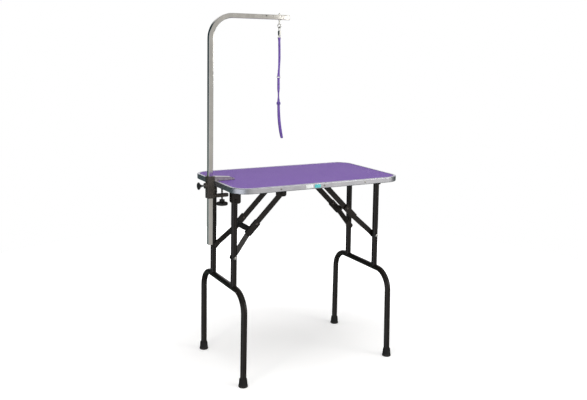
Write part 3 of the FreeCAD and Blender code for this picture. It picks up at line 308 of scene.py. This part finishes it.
def stained_board():
    """Dark plywood under the top: grain along its length, with a thin dull varnish."""
    material, tree, shader = new_material("stained_board", Coat_Weight=0.2, Coat_Roughness=0.45)
    long_grain = noise(tree, place(tree, (5, 120, 120)), 1.0, 6.0, 0.65)
    rings = add(tree, "TexWave", {"Vector": place(tree, (0.6, 9, 9)), "Scale": 3.0, "Distortion": 9.0,
                                  "Detail": 4.0, "Detail Scale": 1.6}, bands_direction="Y").outputs["Fac"]
    pores = noise(tree, place(tree, (40, 1500, 1500)), 1.0, 2.0)
    tone = blend_colours(tree, long_grain, (0.030, 0.020, 0.014), (0.115, 0.080, 0.055))
    tone = blend_colours(tree, maths(tree, "MULTIPLY", rings, 0.45), tone, (0.05, 0.034, 0.024))
    tone = blend_colours(tree, spread(tree, pores, 0.6, 0.72, 0.0, 0.7), tone, (0.012, 0.009, 0.007))
    feed(tree, shader, "Base Color", tone)
    feed(tree, shader, "Roughness", spread(tree, long_grain, 0.3, 0.7, 0.5, 0.68))
    bump(tree, shader, pores, 0.3, 0.0003)
    return material


def woven_nylon():
    """Purple webbing: ribs across, warp threads along, on the strap's own width and length."""
    material, tree, shader = new_material("woven_nylon", Sheen_Weight=0.35, Sheen_Roughness=0.4)
    shader.inputs["Sheen Tint"].default_value = (0.75, 0.6, 1.0, 1)
    strap = add(tree, "UVMap", uv_map="UVMap").outputs["UV"]
    parts = add(tree, "SeparateXYZ", {0: strap})
    across, along = parts.outputs["X"], parts.outputs["Y"]
    warp = maths(tree, "SINE", maths(tree, "MULTIPLY", across, 2 * math.pi / (0.75 * MM)))
    weft = maths(tree, "SINE", maths(tree, "MULTIPLY", along, 2 * math.pi / (1.1 * MM)))
    weave = spread(tree, maths(tree, "MULTIPLY", warp, weft), -1.0, 1.0)
    fuzz = noise(tree, place(tree), 700.0, 4.0, 0.7)
    wear = noise(tree, place(tree), 35.0, 4.0)
    tone = blend_colours(tree, weave, (0.060, 0.026, 0.190), (0.185, 0.098, 0.430))
    tone = blend_colours(tree, spread(tree, fuzz, 0.45, 0.8, 0.0, 0.5), tone, (0.26, 0.16, 0.52))
    tone = blend_colours(tree, spread(tree, wear, 0.5, 0.8, 0.0, 0.3), tone, (0.10, 0.055, 0.26))
    feed(tree, shader, "Base Color", tone)
    feed(tree, shader, "Roughness", spread(tree, weave, 0.0, 1.0, 0.62, 0.82))
    bump(tree, shader, maths(tree, "ADD", weave, maths(tree, "MULTIPLY", fuzz, 0.4)), 0.7, 0.0004)
    return material


def sewing_thread():
    material, tree, shader = new_material("sewing_thread", Sheen_Weight=0.3)
    twist = noise(tree, place(tree, (1, 1, 3)), 1600.0, 2.0)
    feed(tree, shader, "Base Color", blend_colours(tree, twist, (0.09, 0.05, 0.24), (0.20, 0.13, 0.42)))
    feed(tree, shader, "Roughness", spread(tree, twist, 0.3, 0.7, 0.5, 0.7))
    bump(tree, shader, twist, 0.4, 0.0002)
    return material


def label_film(name, dark, light):
    """A blank printed label under clear film."""
    material, tree, shader = new_material(name, Coat_Weight=0.5, Coat_Roughness=0.12)
    where = place(tree)
    ink = noise(tree, where, 300.0, 4.0, 0.7)
    feed(tree, shader, "Base Color", blend_colours(tree, spread(tree, ink, 0.3, 0.7), dark, light))
    feed(tree, shader, "Roughness", spread(tree, ink, 0.3, 0.7, 0.32, 0.45))
    bump(tree, shader, ink, 0.1, 0.0001)
    return material


def weld_metal():
    """Painted weld beads: the frame's black, glossier on the ripples."""
    material, tree, shader = new_material("weld_metal", Specular_IOR_Level=0.6)
    where = place(tree)
    ripple = noise(tree, where, 500.0, 4.0, 0.6)
    tone = blend_colours(tree, ripple, (0.006, 0.005, 0.0045), (0.018, 0.015, 0.013))
    feed(tree, shader, "Base Color", tone)
    feed(tree, shader, "Roughness", spread(tree, ripple, 0.3, 0.7, 0.25, 0.45))
    bump(tree, shader, ripple, 0.4, 0.0004)
    return material


MATERIALS = {
    "mat": mat_vinyl(),
    "trim": satin_aluminium(),
    "trim_rivet": plated_steel("rivet_aluminium", (0.30, 0.28, 0.25), (0.46, 0.44, 0.40), 0.36),
    "black_paint": black_powder_coat(),
    "foot_rubber": foot_rubber(),
    "board": stained_board(),
    "zinc": plated_steel("zinc_plate", (0.42, 0.415, 0.40), (0.58, 0.57, 0.55), 0.34),
    "clamp_black": hammered_black(),
    "dark_rivet": plated_steel("blackened_rivet", (0.09, 0.08, 0.075), (0.19, 0.17, 0.16), 0.34),
    "jaw_steel": jaw_paint(),
    "knob": moulded_plastic("knob_plastic", (0.007, 0.007, 0.007), (0.016, 0.0155, 0.0155), 0.46),
    "brass_tip": plated_steel("turned_brass", (0.46, 0.33, 0.13), (0.62, 0.46, 0.20), 0.30),
    "chrome_arm": chrome(),
    "end_cap": moulded_plastic("cap_plastic", (0.66, 0.66, 0.67), (0.78, 0.78, 0.79), 0.38),
    "nickel": plated_steel("nickel_plate", (0.50, 0.49, 0.45), (0.66, 0.65, 0.60), 0.22),
    "webbing": woven_nylon(),
    "slider_plastic": moulded_plastic("slider_plastic", (0.060, 0.028, 0.20), (0.10, 0.052, 0.29), 0.45),
}


def dress_frame():
    """Every node of the frame gets the material of its slot."""
    for part in frame["record"]["subparts"]:
        node = frame["nodes"][part["node"]]
        node.data.materials.clear()
        node.data.materials.append(MATERIALS[part["material_slot"]])


# ---------------------------------------------------------------- mesh helpers

def table(point_mm):
    """A point about the middle of the table top, in millimetres, as a place in the frame."""
    x, y, z = point_mm
    return Vector((x * MM + TABLE_X, y * MM, z * MM))


def finish_piece(name, mesh, material, body, smooth_angle=40):
    """Put a mesh in the scene, riding on its body."""
    mesh.validate()
    mesh.set_sharp_from_angle(angle=math.radians(smooth_angle))
    for face in mesh.polygons:
        face.use_smooth = True
    mesh.materials.append(material)
    piece = bpy.data.objects.new(name, mesh)
    bpy.context.scene.collection.objects.link(piece)
    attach(piece, body)
    return piece


def skin(name, rings, closed=False, uvs=None):
    """A mesh over rings of points; open ones get an end face each."""
    mesh = bpy.data.meshes.new(name)
    count = len(rings[0])
    points = [tuple(point) for ring in rings for point in ring]
    faces = []
    steps = len(rings) if closed else len(rings) - 1
    for i in range(steps):
        for j in range(count):
            a, b = i * count + j, i * count + (j + 1) % count
            after = ((i + 1) % len(rings)) * count
            faces.append((a, b, after + (j + 1) % count, after + j))
    if not closed:
        faces.append(tuple(range(count))[::-1])
        faces.append(tuple(range((len(rings) - 1) * count, len(rings) * count)))
    mesh.from_pydata(points, [], faces)
    if uvs is not None:
        layer = mesh.uv_layers.new(name="UVMap")
        for face in mesh.polygons:
            for loop in face.loop_indices:
                layer.data[loop].uv = uvs[mesh.loops[loop].vertex_index]
    work = bmesh.new()
    work.from_mesh(mesh)
    bmesh.ops.recalc_face_normals(work, faces=work.faces)
    work.to_mesh(mesh)
    work.free()
    return mesh


def mesh_from(name, work):
    """The finished mesh of a bmesh, which is freed."""
    mesh = bpy.data.meshes.new(name)
    work.to_mesh(mesh)
    work.free()
    return mesh


def route_line(name, route_mm):
    """The points along the smooth line that a route's points steer."""
    curve = bpy.data.curves.new(name, "CURVE")
    curve.dimensions = "3D"
    curve.resolution_u = 16
    spline = curve.splines.new("NURBS")
    spline.points.add(len(route_mm) - 1)
    for control, point in zip(spline.points, route_mm):
        control.co = (*table(point), 1)
    spline.order_u = 3
    spline.use_endpoint_u = True
    holder = bpy.data.objects.new(name, curve)
    line = bpy.data.meshes.new_from_object(holder)
    points = [vertex.co.copy() for vertex in line.vertices]
    bpy.data.objects.remove(holder)
    bpy.data.curves.remove(curve)
    bpy.data.meshes.remove(line)
    return points


def line_length(points):
    return sum((b - a).length for a, b in zip(points, points[1:]))


def evenly(points, step):
    """The same line with its points a step apart."""
    total = line_length(points)
    count = max(2, round(total / step))
    marks = [total * k / count for k in range(count + 1)]
    result = []
    walked = 0.0
    index = 0
    for mark in marks:
        while index < len(points) - 2 and walked + (points[index + 1] - points[index]).length < mark:
            walked += (points[index + 1] - points[index]).length
            index += 1
        span = points[index + 1] - points[index]
        share = min(1.0, (mark - walked) / max(span.length, 1e-9))
        result.append(points[index] + span * share)
    return result


def strap_outline(width, thickness):
    """A flat strap's section: round edges, a little thicker just inside them."""
    half_w, half_t = width / 2, thickness / 2
    edge = half_t
    upper = [(-half_w, 0), (-half_w + edge * 0.35, half_t * 0.75), (-half_w + edge * 1.1, half_t),
             (-half_w * 0.55, half_t * 0.86), (0, half_t * 0.84), (half_w * 0.55, half_t * 0.86),
             (half_w - edge * 1.1, half_t), (half_w - edge * 0.35, half_t * 0.75)]
    lower = [(-x, -z) for x, z in upper]
    return upper + lower


def strap_mesh(name, points, width, thickness, twist, broad=Vector((1, 0, 0))):
    """A strap swept along a line, its width near broad; twist gives its turn at a share of the way."""
    outline = strap_outline(width, thickness)
    rings = []
    uvs = []
    total = line_length(points)
    walked = 0.0
    for index, point in enumerate(points):
        before = points[max(0, index - 1)]
        after = points[min(len(points) - 1, index + 1)]
        along = (after - before).normalized()
        if index:
            walked += (point - points[index - 1]).length
        across = (broad - along * broad.dot(along)).normalized()
        across = Matrix.Rotation(twist(walked / total), 3, along) @ across
        thick = along.cross(across)
        rings.append([point + across * u + thick * v for u, v in outline])
        uvs += [(u, walked) for u, _ in outline]
    return skin(name, rings, uvs=uvs)


def threaded_mesh(name, spans, start, end, sides=28):
    """A screw along a line; spans are (from, to, radius, is it threaded), in metres from its start."""
    way = (end - start).normalized()
    side = way.orthogonal().normalized()
    other = way.cross(side)
    rings = []
    for low, high, radius, threaded in spans:
        steps = max(2, round((high - low) / (THREAD_PITCH / 8))) if threaded else 2
        for step in range(steps + 1):
            height = low + (high - low) * step / steps
            ring = []
            for k in range(sides):
                turn = 2 * math.pi * k / sides
                reach = radius
                if threaded:
                    phase = (height / THREAD_PITCH - k / sides) % 1.0
                    crest = min(1.0, max(0.0, 2.6 * abs(phase - 0.5) - 0.15))
                    reach = radius - THREAD_DEPTH * crest
                ring.append(start + way * height + (side * math.cos(turn) + other * math.sin(turn)) * reach)
            rings.append(ring)
    return skin(name, rings)


def bead_mesh(name, lines, size, seed, closed=True):
    """Weld beads along lines of points: a rounded ridge with the ripples of each dip of the torch."""
    shake = random.Random(seed)
    whole = bmesh.new()
    ripple = size * 0.9
    sides = 10
    for line in lines:
        points = evenly(line + line[:1] if closed else line, size / 5)
        if closed:
            points = points[:-1]
        rings = []
        walked = 0.0
        swell = 1.0
        for index, point in enumerate(points):
            after = points[(index + 1) % len(points)] if closed else points[min(index + 1, len(points) - 1)]
            before = points[index - 1] if closed or index else point
            along = (after - before).normalized()
            walked += (point - before).length if index else 0.0
            if index % 5 == 0:
                swell = shake.uniform(0.9, 1.1)
            phase = (walked / ripple) % 1.0
            radius = size / 2 * swell * (0.84 + 0.24 * math.sqrt(max(0.0, 1 - phase)))
            upright = abs(along.z) > 0.9
            side = along.orthogonal().normalized() if upright else along.cross(Vector((0, 0, 1))).normalized()
            other = along.cross(side)
            rings.append([point + (side * math.cos(t) + other * math.sin(t)) * radius
                          for t in (2 * math.pi * k / sides for k in range(sides))])
        part = skin(name, rings, closed=closed)
        whole.from_mesh(part)
        bpy.data.meshes.remove(part)
    return mesh_from(name, whole)


def stitches_mesh(name, seams, radius=0.28 * MM, length=2.1 * MM, gap=0.9 * MM):
    """Rows of single stitches, each a small capsule half sunk in the strap; a seam is (start, end)."""
    whole = bmesh.new()
    for start, end in seams:
        way = (end - start).normalized()
        count = max(1, int((end - start).length / (length + gap)))
        for k in range(count):
            centre = start + way * ((k + 0.5) * (end - start).length / count)
            turn = Vector((0, 0, 1)).rotation_difference(way).to_matrix().to_4x4()
            shape = Matrix.Translation(centre) @ turn @ Matrix.Diagonal((radius, radius, length / 2, 1))
            bmesh.ops.create_uvsphere(whole, u_segments=8, v_segments=6, radius=1.0, matrix=shape)
    return mesh_from(name, whole)


# ---------------------------------------------------------------- the noose

def leader_twist(share):
    """The leader turns a little both ways between the eye and the ring."""
    return math.radians(8 + 34 * math.sin(math.pi * (1.5 * share + 0.05)) * math.sin(math.pi * share))


def loop_twist(share):
    """Both strands turn alike, and lie flat at the ring, where the slider stops and at the bottom."""
    down = 1 - abs(2 * share - 1)
    way = 1 if share < 0.5 else -1
    above = below = 0.0
    if TWIST_START < down < TWIST_END:
        above = math.sin(math.pi * (down - TWIST_START) / (TWIST_END - TWIST_START))
    if down > LOWER_TWIST_START:
        below = math.sin(math.pi * (down - LOWER_TWIST_START) / (1 - LOWER_TWIST_START))
    return way * math.radians(24 * below - 45 * above)


def fold_line(route):
    """A short smooth line through given points."""
    return evenly(route_line("fold", route), FOLD_STEP)


def no_twist(share):
    return 0.0


def strap_piece(name, points, thickness, twist=no_twist):
    """A stretch of the webbing, swept along its points and riding on the noose."""
    mesh = strap_mesh(name, points, STRAP_WIDTH, thickness, twist)
    return finish_piece(name, mesh, MATERIALS["webbing"], "noose", 70)


def make_noose():
    """The strap: leader, loop, their sewn folds round the metal, and the stitches."""
    leader_points = evenly(route_line("leader_line", LEADER_ROUTE), STRAP_STEP)
    loop_points = evenly(route_line("loop_line", LOOP_ROUTE), STRAP_STEP)
    leader = strap_piece("leader_strap", leader_points, STRAP_THICKNESS, leader_twist)
    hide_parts("noose_leader")
    loop = strap_piece("loop_strap", loop_points, STRAP_THICKNESS, loop_twist)
    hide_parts("noose_loop")

    eye_x, ring_x = LEADER_ROUTE[0][0], LEADER_ROUTE[-1][0]
    folds = {
        "leader_fold_at_eye": [(eye_x, -5.6, 1349.0), (eye_x, -4.4, 1355.4), (eye_x, -3.6, 1359.6),
                               (eye_x, -6.0, 1362.2), (eye_x, -8.6, 1359.4), (eye_x, -7.8, 1354.6),
                               (eye_x, FOLD_FRONT_Y, 1346.0), (eye_x + 0.3, FOLD_FRONT_Y, 1334.0)],
        "leader_fold_at_ring": [(ring_x, -5.6, 1221.0), (ring_x, -4.2, 1214.4), (ring_x, -3.5, 1209.2),
                                (ring_x, -6.0, 1206.8), (ring_x, -8.7, 1209.6), (ring_x, -7.8, 1214.6),
                                (ring_x, FOLD_FRONT_Y, 1222.0), (ring_x - 0.2, FOLD_FRONT_Y, 1234.0)],
        "loop_turn_at_ring": [(ring_x, -7.6, 1196.0), (ring_x, -8.4, 1199.5), (ring_x, -7.6, 1202.8),
                              (ring_x, -4.4, 1202.8), (ring_x, -3.6, 1199.5), (ring_x, -4.4, 1196.0)],
    }
    for name, route in folds.items():
        strap_piece(name, fold_line(route), FOLD_THICKNESS)

    half = STRAP_WIDTH / 2 - SEAM_INSET
    front = FOLD_FRONT_Y - FOLD_THICKNESS / 2 / MM
    seams = []
    for x, (low, high) in ((eye_x, EYE_SEAM), (ring_x, RING_SEAM)):
        corners = [table((x, front, z)) + Vector((way * half, 0, 0))
                   for way, z in ((-1, low), (1, low), (1, high), (-1, high))]
        seams += list(zip(corners, corners[1:] + corners[:1])) + [(corners[0], corners[2])]
    stitches = stitches_mesh("noose_stitches", seams)
    finish_piece("noose_stitches", stitches, sewing_thread(), "noose")


# ---------------------------------------------------------------- clamp and frame details

def thread_in_place_of(node, spans, start, end):
    """A screw with a real thread for a node whose body has the same name."""
    mesh = threaded_mesh(f"{node}_thread", spans, start, end)
    screw = finish_piece(f"{node}_thread", mesh, MATERIALS["zinc"], node, 30)
    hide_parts(node)


def make_screws():
    """Real threads in place of the two plain screws."""
    low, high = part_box("clamp_screw")
    middle = (low + high) / 2
    start = Vector((middle.x, middle.y, low.z))
    end = Vector((middle.x, middle.y, high.z))
    whole = high.z - low.z
    spans = [(0, whole - SCREW_TIP_LENGTH - SCREW_TIP_TAPER, SCREW_RADIUS, True),
             (whole - SCREW_TIP_LENGTH, whole, SCREW_TIP_RADIUS, False)]
    thread_in_place_of("clamp_screw", spans, start, end)

    low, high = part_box("lock_screw")
    hub = Vector(JOINTS["lock_screw_turn"]["pos_m"])
    way = Vector(JOINTS["lock_screw_turn"]["axis"])
    start, end = (hub + way * ((x - hub.x) / way.x) for x in (low.x, high.x))
    thread_in_place_of("lock_screw", [(0, high.x - low.x, SCREW_RADIUS, True)], start, end)


def leg_frame(side):
    """The leg's hinge, and its directions: down along the tubes and out across them."""
    hinge = Vector(JOINTS[f"{side}_leg_fold"]["pos_m"])
    foot = Vector(MOUNTS[f"{side}_foot_front_base"]["pos_m"])
    down = Vector((foot.x - hinge.x, 0, -hinge.z)).normalized()
    return hinge, down, Vector((down.z, 0, -down.x))


def make_frame_welds():
    """The coped joints of the uprights on the crossbar."""
    weld = weld_metal()
    for side in ("left", "right"):
        hinge, down, out = leg_frame(side)
        bar_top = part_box(f"{side}_floor_bow")[1].z
        drop = (hinge.z - bar_top + TUBE_RADIUS) / -down.z
        lines = []
        for end in ("front", "rear"):
            low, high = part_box(f"{side}_upright_{end}")
            middle_y = (low.y + high.y) / 2
            centre = hinge + down * drop + Vector((0, middle_y, 0))
            line = []
            for k in range(72):
                turn = 2 * math.pi * k / 72
                rise = TUBE_RADIUS * abs(math.sin(turn))
                line.append(centre + out * (TUBE_RADIUS * math.cos(turn))
                            + Vector((0, TUBE_RADIUS * math.sin(turn), 0)) - down * rise)
            lines.append(line)
        mesh = bead_mesh(f"{side}_frame_welds", lines, FRAME_WELD_SIZE, 5)
        finish_piece(f"{side}_frame_welds", mesh, weld, f"{side}_leg", 80)


def rectangle_line(centre, u, v, half_u, half_v):
    """A closed rectangle of points about a centre."""
    corners = [centre + u * (a * half_u) + v * (b * half_v) for a, b in ((-1, -1), (1, -1), (1, 1), (-1, 1))]
    return evenly(corners + corners[:1], 1 * MM)[:-1]


def circle_line(centre, u, v, radius):
    return [centre + u * (radius * math.cos(t)) + v * (radius * math.sin(t))
            for t in (2 * math.pi * k / 60 for k in range(60))]


def make_clamp_welds():
    """Beads where the jaws and the bosses meet the leaning sleeve."""
    low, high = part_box("clamp_sleeve")
    centre = (low + high) / 2
    lean = Vector(JOINTS["arm_height"]["axis"])
    half = SLEEVE_SIZE / 2
    y = Vector((0, 1, 0))

    def on_face(way, height):
        """The middle of the sleeve's face towards way along X, at a height."""
        return Vector((centre.x + (height - centre.z) * lean.x / lean.z + way * half, centre.y, height))

    lines = []
    jaw_low, jaw_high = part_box("clamp_lower_jaw")
    middle = on_face(1, (jaw_low.z + jaw_high.z) / 2)
    lines.append(rectangle_line(middle, y, lean, (jaw_high.y - jaw_low.y) / 2, (jaw_high.z - jaw_low.z) / 2))
    jaw_low, jaw_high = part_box("clamp_top_jaw")
    bottom = jaw_low.z + CLAMP_WELD_INSET
    top = min(jaw_high.z, high.z) - CLAMP_WELD_INSET
    lines.append(rectangle_line(on_face(1, (bottom + top) / 2), y, lean, half - CLAMP_WELD_INSET,
                                (top - bottom) / 2))
    boss_low, boss_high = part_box("clamp_bosses")
    lines.append(circle_line(on_face(-1, boss_high.z - BOSS_RADIUS), y, lean, BOSS_RADIUS))
    lines.append(circle_line(on_face(1, boss_low.z + BOSS_RADIUS), y, lean, BOSS_RADIUS))
    mesh = bead_mesh("clamp_welds", lines, CLAMP_WELD_SIZE, 9)
    finish_piece("clamp_welds", mesh, MATERIALS["clamp_black"], "root", 80)


def plate_mesh(name, width, height, thickness, radius, centre, out):
    """A thin plate with round corners, standing on a face whose outward direction is out."""
    side = Vector((0, 0, 1)).cross(out).normalized()
    outline = []
    for k, (sx, sz) in enumerate(((1, 1), (-1, 1), (-1, -1), (1, -1))):
        for step in range(7):
            turn = math.radians(90 * k + 15 * step)
            outline.append(((width / 2 - radius) * sx + radius * math.cos(turn),
                            (height / 2 - radius) * sz + radius * math.sin(turn)))
    rings = []
    for inset, lift in ((0, 0), (0, thickness * 0.7), (thickness * 0.3, thickness)):
        shrink_x, shrink_z = 1 - 2 * inset / width, 1 - 2 * inset / height
        rings.append([centre + side * (u * shrink_x) + Vector((0, 0, v * shrink_z)) + out * lift
                      for u, v in outline])
    return skin(name, rings)


def make_labels():
    """Two blank plates on the front of the trim."""
    front = Vector((0, -1, 0))
    height = (TRIM_HIGH.z - TRIM_LOW.z) * LABEL_SHARE_OF_TRIM
    middle = (TRIM_LOW.z + TRIM_HIGH.z) / 2
    labels = (("label_pale", PALE_LABEL, (0.62, 0.64, 0.64), (0.72, 0.74, 0.74)),
              ("label_cyan", CYAN_LABEL, (0.05, 0.42, 0.44), (0.10, 0.52, 0.54)))
    for name, (x, width), dark, light in labels:
        centre = Vector((TABLE_X + x, TRIM_LOW.y, middle))
        mesh = plate_mesh(name, width, height, LABEL_THICKNESS, LABEL_CORNER, centre, front)
        finish_piece(name, mesh, label_film(name, dark, light), "root")


# ---------------------------------------------------------------- camera, light and floor

CAMERA_PLACE = (-1.4547, -2.6321, 1.3074)         # about the middle of the table top, on the floor
CAMERA_YAW = 0.5007
CAMERA_PITCH = 0.2030
CAMERA_ROLL = 0.0153
CAMERA_LENS = 44.2                                # millimetres, on a 36 mm sensor
FLOOR_RADIUS = 2.4
FLOOR_GLOW_RAMP = (0.55, 1.5)                          # where the floor's painted glow starts and ends to rise


def make_camera():
    data = bpy.data.cameras.new("camera")
    data.sensor_width = 36.0
    data.lens = CAMERA_LENS
    data.clip_end = 100.0
    camera = bpy.data.objects.new("camera", data)
    ahead = Vector((math.sin(CAMERA_YAW) * math.cos(CAMERA_PITCH),
                    math.cos(CAMERA_YAW) * math.cos(CAMERA_PITCH), -math.sin(CAMERA_PITCH)))
    right = Vector((math.cos(CAMERA_YAW), -math.sin(CAMERA_YAW), 0))
    up = right.cross(ahead)
    right_rolled = right * math.cos(CAMERA_ROLL) + up * math.sin(CAMERA_ROLL)
    up_rolled = up * math.cos(CAMERA_ROLL) - right * math.sin(CAMERA_ROLL)
    turn = Matrix((right_rolled, up_rolled, -ahead)).transposed().to_4x4()
    x, y, z = CAMERA_PLACE
    camera.matrix_world = Matrix.Translation(Vector((x + TABLE_X, y, z))) @ turn
    bpy.context.scene.collection.objects.link(camera)
    bpy.context.scene.camera = camera


def softbox(name, place_at, look_at, width, height, power, colour=(1, 1, 1), reflected=False):
    """A rectangular lamp; it shows in reflections only if reflected."""
    data = bpy.data.lights.new(name, "AREA")
    data.shape = "RECTANGLE"
    data.size = width
    data.size_y = height
    data.energy = power
    data.color = colour
    light = bpy.data.objects.new(name, data)
    way = Vector(look_at) - Vector(place_at)
    light.matrix_world = Matrix.Translation(place_at) @ way.to_track_quat("-Z", "Y").to_matrix().to_4x4()
    light.visible_camera = False
    light.visible_glossy = reflected
    bpy.context.scene.collection.objects.link(light)


def glow(tree, direction, towards, inner, outer):
    """1 where direction is near towards, falling to 0 away from it; inner and outer are cosines."""
    way = Vector(towards).normalized()
    dot = add(tree, "VectorMath", {0: direction, 1: tuple(way)}, operation="DOT_PRODUCT").outputs["Value"]
    node = add(tree, "MapRange", {"Value": dot, "From Min": outer, "From Max": inner},
               interpolation_type="SMOOTHSTEP")
    return node.outputs["Result"]


def make_world():
    """A white backdrop to the eye; in reflections, a dim teal studio with a grey front and a pale rear."""
    world = bpy.data.worlds.new("studio")
    bpy.context.scene.world = world
    world.use_nodes = True
    tree = world.node_tree
    background = tree.nodes["Background"]
    direction = add(tree, "TexCoord").outputs["Generated"]
    room = (0.012, 0.032, 0.036)
    glows = (((0.42, -0.90, -0.10), 0.90, 0.62, (0.50, 0.485, 0.46)),     # the front wall
             ((-0.90, -0.43, -0.15), 0.90, 0.74, (0.92, 0.95, 1.00)),     # a window on the left
             ((-0.30, 0.80, -0.55), 0.93, 0.85, (0.10, 0.14, 0.125)),     # the floor at the left rear
             ((0.45, 0.86, 0.22), 0.95, 0.80, (1.0, 0.98, 1.0)),          # the pale rear wall
             ((0.10, -0.20, 1.00), 0.95, 0.60, (0.55, 0.55, 0.54)))       # the ceiling
    for towards, inner, outer, colour in glows:
        room = blend_colours(tree, glow(tree, direction, towards, inner, outer), room, colour)
    paths = add(tree, "LightPath")
    fill = blend_colours(tree, paths.outputs["Is Diffuse Ray"], room, (0.50, 0.50, 0.50))
    colour = blend_colours(tree, paths.outputs["Is Camera Ray"], fill, (1.0, 1.0, 1.0))
    tree.links.new(colour, background.inputs["Color"])
    background.inputs["Strength"].default_value = 1.0


def make_floor():
    """A pale round floor with a painted glow, an emission that rises away from the object, so that it lightens
    into the backdrop.
    """
    work = bmesh.new()
    bmesh.ops.create_circle(work, cap_ends=True, segments=96, radius=FLOOR_RADIUS)
    mesh = mesh_from("floor", work)
    floor = bpy.data.objects.new("floor", mesh)
    floor.location = (TABLE_X, 0, 0)
    bpy.context.scene.collection.objects.link(floor)
    material, tree, shader = new_material("floor_paper", Roughness=0.9, Specular_IOR_Level=0.1)
    shader.inputs["Base Color"].default_value = (0.80, 0.80, 0.80, 1)
    shader.inputs["Emission Color"].default_value = (1, 1, 1, 1)
    source = add(tree, "TexCoord").outputs["Object"]
    away = add(tree, "VectorMath", {0: source}, operation="LENGTH").outputs["Value"]
    # Painted light: the floor glows, its emission rising from 0.30 near the object to 0.95 away from it.
    feed(tree, shader, "Emission Strength", spread(tree, away, *FLOOR_GLOW_RAMP, 0.30, 0.95))
    mesh.materials.append(material)
    floor.visible_glossy = False


def make_lights():
    x = TABLE_X
    softbox("overhead", (x - 0.2, -0.5, 3.1), (x, 0, 0.6), 2.6, 2.2, 62)
    softbox("front_right", (x + 2.38, -3.0, 1.75), (x, 0, 0.9), 1.3, 1.3, 40, (1.0, 0.97, 0.93),
            reflected=True)
    softbox("front_left", (x - 3.0, -1.9, 1.5), (x, 0, 0.7), 0.5, 1.8, 22, (1.0, 0.93, 0.85))


def main():
    make_camera()
    make_noose()
    dress_frame()
    make_screws()
    make_frame_welds()
    make_clamp_welds()
    make_labels()
    make_world()
    make_floor()
    make_lights()
    bpy.context.scene.view_settings.view_transform = "Standard"


main()
